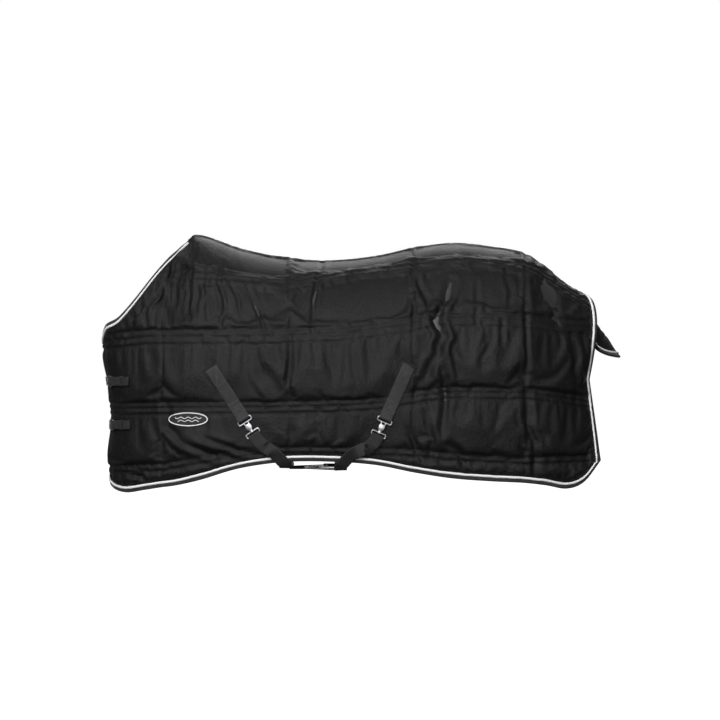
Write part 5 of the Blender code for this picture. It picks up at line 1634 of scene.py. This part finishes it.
@dataclass
class BellyStrap:
    """One belly strap: from its loop on the near side, under the belly, to the far side's sewn tab."""

    word: str
    near_top: tuple[float, float]
    near_end: tuple[float, float]
    far_top: tuple[float, float]
    far_end: tuple[float, float]
    lean: float
    drop: float
    width: float = 0.044
    thickness: float = 0.0022
    crossing_x: float = 0.392
    belly_z: float = -0.786
    belly_half: float = 0.225
    spread: float = 0.095
    layer_step: float = 0.0046
    seat: float = 0.0013
    hem_clearance: float = 0.0076
    adjuster_y: float = 0.14
    tail: float = 0.07
    hem_z: float = -0.742
    turn_z: float = -0.7775
    run_in: float = 0.024
    turn_radius: float = 0.0038

    def _route(self, face: ClothFace, side: Side, start: Vector, down: Vector,
               hem_x: float) -> list[tuple[Vector, Vector, float]]:
        """Points, normals and heights of the strap on one side, from a bar to the hem."""
        first = Vector((start.x, start.z))
        control = first + Vector((down.x, down.z)).normalized() * 0.055
        finish = Vector((hem_x, self.hem_z))
        route = []
        for t in (0.2, 0.34, 0.48, 0.62, 0.76, 0.93):
            spot = first * (1.0 - t) ** 2 + control * (2.0 * t * (1.0 - t)) + finish * t ** 2
            point, normal = face.at_side(side, spot.x, spot.y)
            lift = self.seat + (self.hem_clearance - self.seat) * min(1.0, t / 0.5)
            route.append((point, normal, lift))
        return route

    def stations(self, face: ClothFace) -> list[Station]:
        """Both layers' stations in one run: the turned-back layer, the turn and the main layer."""
        _, loop, across, down, up = clip_axes(self.word)
        level = self.belly_z - self.drop
        near_x, far_x = self.crossing_x - self.lean * self.spread, self.crossing_x + self.lean * self.spread
        route = self._route(face, Side.NEAR, loop, down, near_x - self.lean * self.run_in)
        half = self.thickness / 2.0
        inner = [point + normal * (lift + half) for point, normal, lift in route]
        ups = [normal for _, normal, _ in route]
        inner.append(Vector((near_x, -abs(route[-1][0].y) - 0.002, self.turn_z - self.drop * 0.6)))
        ups.append(Vector((0.0, -0.6, -0.8)))
        under = Vector((0.0, 0.0, -1.0))
        for y in (-0.225, -0.218, -0.208, -0.16, -0.08, 0.0, 0.08, 0.14, 0.19, 0.208, 0.218, 0.225):
            inner.append(Vector((self.crossing_x + self.lean * self.spread * y / self.belly_half, y, level)))
            ups.append(under)
        outer = [point + normal * self.layer_step for point, normal in zip(inner[:8], ups[:8])]
        outer_ups = ups[:8]
        for y in (-0.214, -0.19, -0.11, 0.0, 0.08, self.adjuster_y, self.adjuster_y + 0.05,
                  self.adjuster_y + self.tail):
            outer.append(Vector((self.crossing_x + self.lean * self.spread * y / self.belly_half, y,
                                 level - self.layer_step)))
            outer_ups.append(under)
        far_start = Vector(self.far_end)
        far_down = (Vector(self.far_end) - Vector(self.far_top)).normalized()
        far_route = self._route(face, Side.FAR, Vector((far_start.x, 0.0, far_start.y)),
                                Vector((far_down.x, 0.0, far_down.y)), far_x + self.lean * self.run_in)[::-1]
        inner.append(Vector((far_x, abs(far_route[0][0].y) + 0.002, self.turn_z - self.drop * 0.6)))
        ups.append(Vector((0.0, 0.6, -0.8)))
        for point, normal, lift in far_route:
            inner.append(point + normal * (lift + half))
            ups.append(normal)
        guide = across
        run = self._turned(outer[::-1], outer_ups[::-1], Vector((1.0, 0.0, 0.0)))
        bend = bar_turn(loop, -down, up, across * (self.width / 2.0), self.turn_radius)
        main = self._turned(inner, ups, guide)
        start, finish = Vector(self.far_top), Vector(self.far_end)
        heading = (finish - start).normalized()
        sewn = [face.station(Side.FAR, start + (finish - start) * t, heading, self.seat + half, self.width)
                for t in (0.9, 0.7, 0.5, 0.3, 0.15, 0.0)]
        return run + bend[::-1] + main + sewn

    def _turned(self, points: Sequence[Vector], ups: Sequence[Vector], guide: Vector) -> list[Station]:
        """Stations through free points, each with its outward direction."""
        stations = []
        for k, (point, up) in enumerate(zip(points, ups)):
            ahead = (points[min(k + 1, len(points) - 1)] - points[max(k - 1, 0)]).normalized()
            half = ahead.cross(up).normalized() * (self.width / 2.0)
            half = half if half.dot(guide) > 0.0 else -half
            guide = half
            stations.append((point, half, up))
        return stations

    def build(self, face: ClothFace, webbing: Material) -> None:
        """Make the strap."""
        webbed(self.word + "_strap_webbing", self.width, self.thickness, self.stations(face), webbing,
               self.word + "_belly_strap")


@dataclass
class ChestStrap:
    """One chest closure: billet, chape round the buckle's heel bar, and keeper."""

    word: str
    z: float
    width: float = 0.03
    thickness: float = 0.0022
    seat: float = 0.001
    buckle_angle: float = 28.0
    span: float = 0.03
    chape_angle: float = 17.0
    turn_radius: float = 0.0038
    route: tuple = ((-42.0, 0.0016), (-36.0, 0.0016), (-30.0, 0.0016), (-24.0, 0.0016), (-18.0, 0.004),
                    (-12.0, 0.015), (-8.0, 0.0075), (-3.0, 0.005), (3.0, 0.0024), (9.0, 0.002))

    def _station(self, face: ClothFace, angle: float, height: float) -> Station:
        """A station round the chest at a height over the cloth."""
        low, low_up = face.at_chest(angle, self.z - self.width / 2.0)
        high, high_up = face.at_chest(angle, self.z + self.width / 2.0)
        middle, _ = face.at_chest(angle, self.z)
        half = (high - low) / 2.0
        up = low_up + high_up
        up = (up - half * (up.dot(half) / half.length_squared)).normalized()
        proud = max((middle - (low + high) / 2.0).dot(up), 0.0)
        return (low + high) / 2.0 + up * (height + proud), half.normalized() * (self.width / 2.0), up

    def _bar(self, face: ClothFace) -> tuple[Vector, Vector, Vector, Vector]:
        """The heel bar's place, and upright, forward and outward directions."""
        bar, upright = joint_facts(self.word + "_tongue_swing")
        here, _, _ = self._station(face, self.buckle_angle, 0.0)
        ahead, _, _ = self._station(face, self.buckle_angle - 9.5, 0.0)
        forward = ahead - here
        forward = (forward - upright * forward.dot(upright)).normalized()
        up = upright.cross(forward)
        return bar, upright, forward, up

    def build(self, face: ClothFace, webbing: Material) -> None:
        """Make the three webbing pieces."""
        bar, upright, forward, up = self._bar(face)
        half = upright * (self.width / 2.0)
        low = self.seat + self.thickness / 2.0
        stations = [self._station(face, angle, height) for angle, height in self.route]
        under = bar - up * (0.0013 + 0.0003 + self.thickness / 2.0)
        stations.append((under + forward * (self.span + 0.004), half, up))
        stations.append((under + forward * (self.span - 0.004), half, up))
        rise = self.turn_radius + self.thickness + 0.0006
        stations.append((bar + up * rise + forward * 0.004, half, up))
        stations.append((bar + up * rise - forward * 0.006, half, up))
        top = low + 2.0 * (self.thickness + 0.0003)
        for share in (0.42, 0.58, 0.75, 0.92, 1.08, 1.25):
            stations.append(self._station(face, self.buckle_angle + self.chape_angle * share, top))
        webbed(self.word + "_billet_webbing", self.width, self.thickness, stations, webbing,
               self.word + "_chest_strap")
        shares = (1.0, 0.83, 0.66, 0.49, 0.34)
        layer = [self._station(face, self.buckle_angle + self.chape_angle * share, low) for share in shares]
        layer += bar_turn(bar, forward, up, half, self.turn_radius)
        layer += [self._station(face, self.buckle_angle + self.chape_angle * share,
                                low + self.thickness + 0.0002) for share in reversed(shares)]
        webbed(self.word + "_chape_webbing", self.width, self.thickness, layer, webbing, self.word + "_chape")
        self._keeper(face, webbing)

    def _keeper(self, face: ClothFace, webbing: Material) -> None:
        """Bend the keeper's band over the billet's end."""
        centre, half, up = self._station(face, self.buckle_angle + self.chape_angle * 0.75, 0.0)
        ahead, _, _ = self._station(face, self.buckle_angle + self.chape_angle * 0.75 - 1.5, 0.0)
        upright = half.normalized()
        forward = (ahead - centre).normalized()
        reach = self.width / 2.0 + 0.0018
        roof = self.seat + 3.0 * self.thickness + 0.003
        line = [(-reach, 0.0002), (-reach, roof * 0.55), (-reach * 0.97, roof * 0.92), (-reach * 0.88, roof),
                (0.0, roof + 0.0003), (reach * 0.88, roof), (reach * 0.97, roof * 0.92), (reach, roof * 0.55),
                (reach, 0.0002)]
        stations = []
        for k, (a, b) in enumerate(line):
            before, after = line[max(k - 1, 0)], line[min(k + 1, len(line) - 1)]
            run = (upright * (after[0] - before[0]) + up * (after[1] - before[1])).normalized()
            stations.append((centre + upright * a + up * b, forward * 0.005, run.cross(forward)))
        made = Webbing(self.word + "_keeper_webbing", 0.01, 0.0018, 0.003).mesh(stations, webbing)
        placed(made, "rug", (self.word + "_keeper",))


# ------------------------------------------------------------------ tail flap, badge, small parts

@dataclass
class TailFlap:
    """The padded tail flap, its tape and bead, and the strip that it hangs from."""

    length: float = 0.214
    half_width: float = 0.088
    root_half: float = 0.026
    depth: float = 0.048
    thickness: float = 0.007
    slope: float = math.radians(-54.0)
    root: tuple[float, float, float] = (1.322, 0.0, -0.24)
    rows: int = 44
    columns: int = 41

    def grid(self) -> tuple[Grid, Grid]:
        """Points of the flap's upper and under faces."""
        a = np.linspace(0.0, 1.0, self.rows)[:, None]
        b = np.sin(np.linspace(-1.0, 1.0, self.columns) * math.pi / 2.0)[None, :]
        straight = self.length - self.half_width
        run = a * (straight + self.half_width * np.sqrt(np.maximum(0.0, 1.0 - b * b)))
        half = self.root_half + (self.half_width - self.root_half) * np.sin(a * math.pi / 2.0)
        out = half * b
        down = np.array((math.cos(self.slope), 0.0, math.sin(self.slope)))
        away = np.array((-math.sin(self.slope), 0.0, math.cos(self.slope)))
        droop = self.depth * (out / self.half_width) ** 2
        base = (np.array(self.root) + run[:, :, None] * down + out[:, :, None] * np.array((0.0, 1.0, 0.0))
                - droop[:, :, None] * away)
        normals = grid_normals(base, 1.0)
        normals = normals * np.sign(normals[self.rows // 2, self.columns // 2, 0])
        border = np.minimum(1.0 - np.abs(b) + 0.0 * a, 1.0 - a + 0.0 * b) * self.half_width
        full = smoothstep(border, 0.006, 0.03)
        thick = 0.005 + (self.thickness - 0.005) * full
        wrinkle = 0.0014 * hashed_noise(run, out, 0.045, 0.03, 9) * full
        channel = -0.0018 * sum(np.exp(-((run - place) / 0.004) ** 2) for place in (0.1, 0.125))
        return base + normals * (thick + wrinkle + channel * full)[:, :, None], base

    def build(self, cloth: Material, tape: Material, piping: Material, webbing: Material) -> None:
        """Make the flap and its edge."""
        upper, under = self.grid()
        uvs = np.stack([under[:, :, 1] + 0.2, run_length(under)], axis=-1)
        pad = closed_sheet("tail_flap_quilt", upper, under, uvs, False, cloth)
        turned_outward(pad)
        placed(pad, "tail_flap", ("tail_flap",))
        last_i, last_j = self.rows - 1, self.columns - 1
        spots = [[(i, k) for k in range(8)] for i in range(2, last_i - 6)]
        spots += [[(last_i - k, j) for k in range(0, 8)] for j in range(3, last_j - 2)]
        spots += [[(i, last_j - k) for k in range(8)] for i in range(last_i - 7, 1, -1)]
        outer = np.array([[upper[s] for s in line] for line in spots])
        inner = np.array([[under[s] for s in line] for line in spots])
        binding = folded_tape("tail_flap_tape", outer, inner, 0.01, 0.0011, tape)
        placed(binding, "tail_flap", ("tail_flap_binding",))
        bead = piped_bead("tail_flap_bead", outer, inner, 0.01, 0.0034, piping)
        placed(bead, "tail_flap", ("tail_flap_piping",))
        self._strip(webbing)

    def _strip(self, webbing: Material) -> None:
        """Lay the strip that carries the flap under the spine's end."""
        side = Vector((0.0, 0.013, 0.0))
        low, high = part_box("tail_flap_strip")
        points = ((low.x + 0.001, high.z - 0.0015), (1.289, -0.1915), (1.303, -0.203), (1.318, -0.2225),
                  (high.x - 0.002, low.z + 0.003))
        stations = []
        for k, (x, z) in enumerate(points):
            before, after = points[max(k - 1, 0)], points[min(k + 1, len(points) - 1)]
            run = Vector((after[0] - before[0], 0.0, after[1] - before[1])).normalized()
            stations.append((Vector((x, 0.0, z)), side, Vector((-run.z, 0.0, run.x))))
        made = Webbing("tail_flap_hanger", 0.026, 0.0022, 0.004).mesh(stations, webbing)
        placed(made, "rug", ("tail_flap_strip",))


@dataclass
class Badge:
    """The oval woven badge: a padded oval, an embroidered rim and a plain wavy ornament."""

    centre: tuple[float, float] = (-0.034, -0.6245)
    half_length: float = 0.07
    half_height: float = 0.0265
    rim: float = 0.0034
    thickness: float = 0.0016
    wave_reach: float = 0.045
    wave_rise: float = 0.0026
    wave_length: float = 0.004

    def _spot(self, face: ClothFace, a: float, b: float, height: float) -> Vector:
        """A point over the cloth at a place on the badge."""
        point, normal = face.at_side(Side.NEAR, self.centre[0] + a, self.centre[1] + b)
        return point + normal * height

    def build(self, face: ClothFace, cloth: Material, white: Material) -> None:
        """Make the badge.

        Args:
            face: The cloth that it is sewn to.
            cloth: The badge's ground.
            white: Its rim and ornament.
        """
        turns = np.linspace(0.0, 2.0 * math.pi, 72, endpoint=False)
        rings = []
        for share, height in ((1.0, -0.0004), (1.0, 0.0012), (0.975, self.thickness),
                              (0.75, self.thickness + 0.0005), (0.5, self.thickness + 0.0007),
                              (0.25, self.thickness + 0.0008)):
            rings.append([self._spot(face, self.half_length * share * math.cos(t),
                                     self.half_height * share * math.sin(t), height) for t in turns])
        ground = swept("badge_ground", np.array(rings), np.linspace(0.0, 0.05, len(rings)), cloth)
        placed(ground, "rug", ("badge",))
        line = np.array([self._spot(face, (self.half_length - 0.0042) * math.cos(t),
                                    (self.half_height - 0.0042) * math.sin(t), self.thickness + 0.0006)
                         for t in turns])
        _, normal = face.at_side(Side.NEAR, *self.centre)
        ring = wire(line, self.rim / 2.0, 0.0011, normal, 8)
        rim = swept("badge_border", ring, run_length(line), white, True)
        placed(rim, "rug", ("badge_rim",))
        strokes = []
        for shift, reach in ((0.0048, self.wave_reach), (-0.0052, 0.8 * self.wave_reach)):
            xs = np.linspace(-reach, reach, 81)
            points = np.array([self._spot(face, x, shift + self.wave_rise * math.cos(x / self.wave_length),
                                          self.thickness + 0.0009) for x in xs])
            ahead = unit(np.gradient(points, axis=0))
            up = np.array(normal)
            side = unit(np.cross(ahead, up))
            strokes.append(swept("badge_stroke", rings_round(points, side * 0.0011, up * 0.0007, 8),
                                 run_length(points), white))
        placed(joined("badge_ornament", strokes), "rug")


@dataclass
class SpineBead:
    """The white bead over the seam along the back."""

    half_width: float = 0.003
    height: float = 0.0022

    def build(self, near: QuiltPanel, far: QuiltPanel, white: Material) -> None:
        """Lay the bead from the mane to the rear edge."""
        rows = slice(near.mane_row + 3, len(near.outer) - 4)
        other = far.outer[far.mane_row:, 0]
        left = near.outer[rows, 0]
        right = np.stack([np.interp(left[:, 0], other[:, 0], other[:, k]) for k in range(3)], axis=1)
        centre = (left + right) / 2.0
        centre[:, 1] = 0.0
        ahead = unit(np.gradient(centre, axis=0))
        side = np.array((0.0, 1.0, 0.0))
        up = unit(np.cross(ahead, side))
        up = up * np.sign(up[:, 2:3])
        breathe = 1.0 + 0.1 * np.sin(run_length(centre) * 90.0)[:, None]
        rings = rings_round(centre + up * 0.0006, side * self.half_width, up * self.height * breathe, 10)
        made = swept("spine_bead", rings, run_length(centre), white)
        placed(made, "rug", ("spine_piping",))


@dataclass
class Hardware:
    """The metal pieces that keep their CAD shape, with softened edges and a plated finish."""

    nodes: tuple[str, ...] = ("front_adjuster", "rear_adjuster", "upper_buckle", "lower_buckle",
                              "upper_tongue", "lower_tongue")
    softening: float = 0.0005

    def dress(self, steel: Material) -> None:
        """Give every piece its finish and soft edges."""
        for name in self.nodes:
            piece = frame["nodes"][name]
            piece.data.materials.clear()
            piece.data.materials.append(steel)
            weld = piece.modifiers.new("Weld", "WELD")
            weld.merge_threshold = 0.00002
            soft = piece.modifiers.new("Bevel", "BEVEL")
            soft.width, soft.segments = self.softening, 2
            soft.limit_method, soft.angle_limit = "ANGLE", math.radians(30.0)
            soft.harden_normals = True
            LOG.info("%s dressed", name)


# ------------------------------------------------------------------ studio

@dataclass
class Studio:
    """Pale floor, soft light and the camera, level with the rug's side."""

    aim: tuple[float, float, float] = (0.552, 0.0, -0.422)
    frame_width: float = 2.455
    distance: float = 20.0
    near_plane: float = 0.28
    floor_z: float = -1.55
    sky_low: float = 0.05
    sky_high: float = 0.22

    def build(self) -> None:
        """Set the whole studio up."""
        self._floor()
        self._lights()
        self._camera()
        self._world()
        scene = bpy.context.scene
        scene.view_settings.view_transform = "Standard"
        scene.view_settings.look = "None"

    def _floor(self) -> None:
        """Lay the floor."""
        finish, tree, shader = blank_material("pale_floor")
        grain = add_node(tree, "TexNoise", {}, {"Scale": 3.0, "Detail": 2.0})
        tone = colour_ramp(tree, grain.outputs["Fac"], ((0.3, "#f8f8f8"), (0.7, "#ffffff")))
        tree.links.new(tone, shader.inputs["Base Color"])
        shader.inputs["Roughness"].default_value = 0.9
        shader.inputs["Emission Color"].default_value = (1.0, 1.0, 1.0, 1.0)
        shader.inputs["Emission Strength"].default_value = 1.0
        reach = 60.0
        x, y, z = self.aim[0], self.aim[1], self.floor_z
        points = np.array([(x - reach, y - reach, z), (x + reach, y - reach, z), (x + reach, y + reach, z),
                           (x - reach, y + reach, z)])
        floor = mesh_object("floor", points, [(0, 1, 2, 3)], None, finish, False)
        floor.visible_diffuse = floor.visible_glossy = False

    def _lights(self) -> None:
        """Hang the soft boxes."""
        for name, place, size, power in (("overhead_box", (0.3, -1.6, 3.2), 3.0, 26.0),
                                         ("front_box", (-1.5, -5.5, 2.4), 3.0, 300.0),
                                         ("fill_card", (0.6, -8.0, 0.2), 4.0, 150.0),
                                         ("rear_box", (1.2, 5.0, 3.5), 3.5, 120.0)):
            lamp = bpy.data.lights.new(name, "AREA")
            lamp.shape = "SQUARE"
            lamp.size, lamp.energy = size, power
            piece = bpy.data.objects.new(name, lamp)
            piece.visible_camera = False
            piece.location = place
            piece.rotation_euler = (Vector(self.aim) - Vector(place)).to_track_quat("-Z", "Y").to_euler()
            bpy.context.scene.collection.objects.link(piece)

    def _camera(self) -> None:
        """Stand the camera square to the near side, far off, so the view is almost parallel."""
        lens = bpy.data.cameras.new("camera")
        lens.sensor_width = 36.0
        lens.lens = 36.0 * (self.distance - self.near_plane) / self.frame_width
        lens.clip_end = 200.0
        piece = bpy.data.objects.new("camera", lens)
        piece.location = (self.aim[0], self.aim[1] - self.distance, self.aim[2])
        piece.rotation_euler = (math.pi / 2.0, 0.0, 0.0)
        bpy.context.scene.collection.objects.link(piece)
        bpy.context.scene.camera = piece

    def _world(self) -> None:
        """Paint the surroundings white, and light the rug from them most strongly from above."""
        world = bpy.data.worlds.new("studio")
        bpy.context.scene.world = world
        world.use_nodes = True
        tree = world.node_tree
        tree.nodes.clear()
        seen = add_node(tree, "Background", {}, {"Color": (1.0, 1.0, 1.0, 1.0), "Strength": 1.0})
        height = add_node(tree, "SeparateXYZ", links={0: add_node(tree, "TexCoord").outputs["Generated"]})
        sky = add_node(tree, "MapRange", {}, {"From Min": -0.25, "From Max": 1.0, "To Min": self.sky_low,
                                              "To Max": self.sky_high}, {0: height.outputs["Z"]})
        lit = add_node(tree, "Background", {}, {"Color": (1.0, 1.0, 1.0, 1.0)}, {"Strength": sky.outputs[0]})
        path = add_node(tree, "LightPath")
        mixed = add_node(tree, "MixShader", links={0: path.outputs["Is Camera Ray"], 1: lit.outputs[0],
                                                   2: seen.outputs[0]})
        add_node(tree, "OutputWorld", links={"Surface": mixed.outputs[0]})


def main() -> None:
    """Build every sub-assembly in order."""
    logging.basicConfig(level=logging.INFO, format="%(name)s: %(message)s", force=True)
    cloth, lining = WovenPolyester().material(), NylonLining().material()
    webbing, tape = RibbedWebbing().material(), FoldedTape().material()
    tab_webbing = RibbedWebbing("tab_webbing", "#1c1c1d", "#39393b").material()
    piping, steel = CordPiping().material(), NickelPlate().material()
    thread = SewingThread().material()
    tab_thread = SewingThread("grey_thread", "#4c4c4e", "#6a6a6c").material()
    badge_ground = RibbedWebbing("badge_weave", "#0d0d0e", "#1c1c1e", 1.6, 0.35).material()

    panels = {}
    for side in (Side.NEAR, Side.FAR):
        panel = QuiltPanel(side, WornShape(side), ClothRelief(side))
        panel.build_surfaces()
        panel.build_cloths(cloth, lining)
        panel.build_edges(tape, piping)
        panel.build_stitches(thread)
        panels[side] = panel
    SpineBead().build(panels[Side.NEAR], panels[Side.FAR], piping)
    face = ClothFace.of(list(panels.values()))

    tabs = {"front": ((0.0443, -0.45), (0.156, -0.623)), "rear": ((0.7195, -0.439), (0.6385, -0.622))}
    for word, other, lean, drop in (("front", "rear", 1.0, 0.0), ("rear", "front", -1.0, 0.0074)):
        top, end = tabs[word]
        for side in (Side.NEAR, Side.FAR):
            SewnPatch(word, side, top, end).build(face, cloth)
        clip = SurcingleClip(word, top, end)
        clip.build_tab(face, tab_webbing, tab_thread)
        clip.build_hook(steel)
        clip.build_loop(steel)
        BellyStrap(word, top, end, *tabs[other], lean, drop).build(face, webbing)
    for word, z in (("upper", -0.495), ("lower", -0.645)):
        ChestStrap(word, z).build(face, webbing)
    TailFlap().build(cloth, tape, piping, webbing)
    Badge().build(face, badge_ground, piping)
    Hardware().dress(steel)
    Studio().build()

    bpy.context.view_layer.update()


if __name__ == "__main__":
    main()
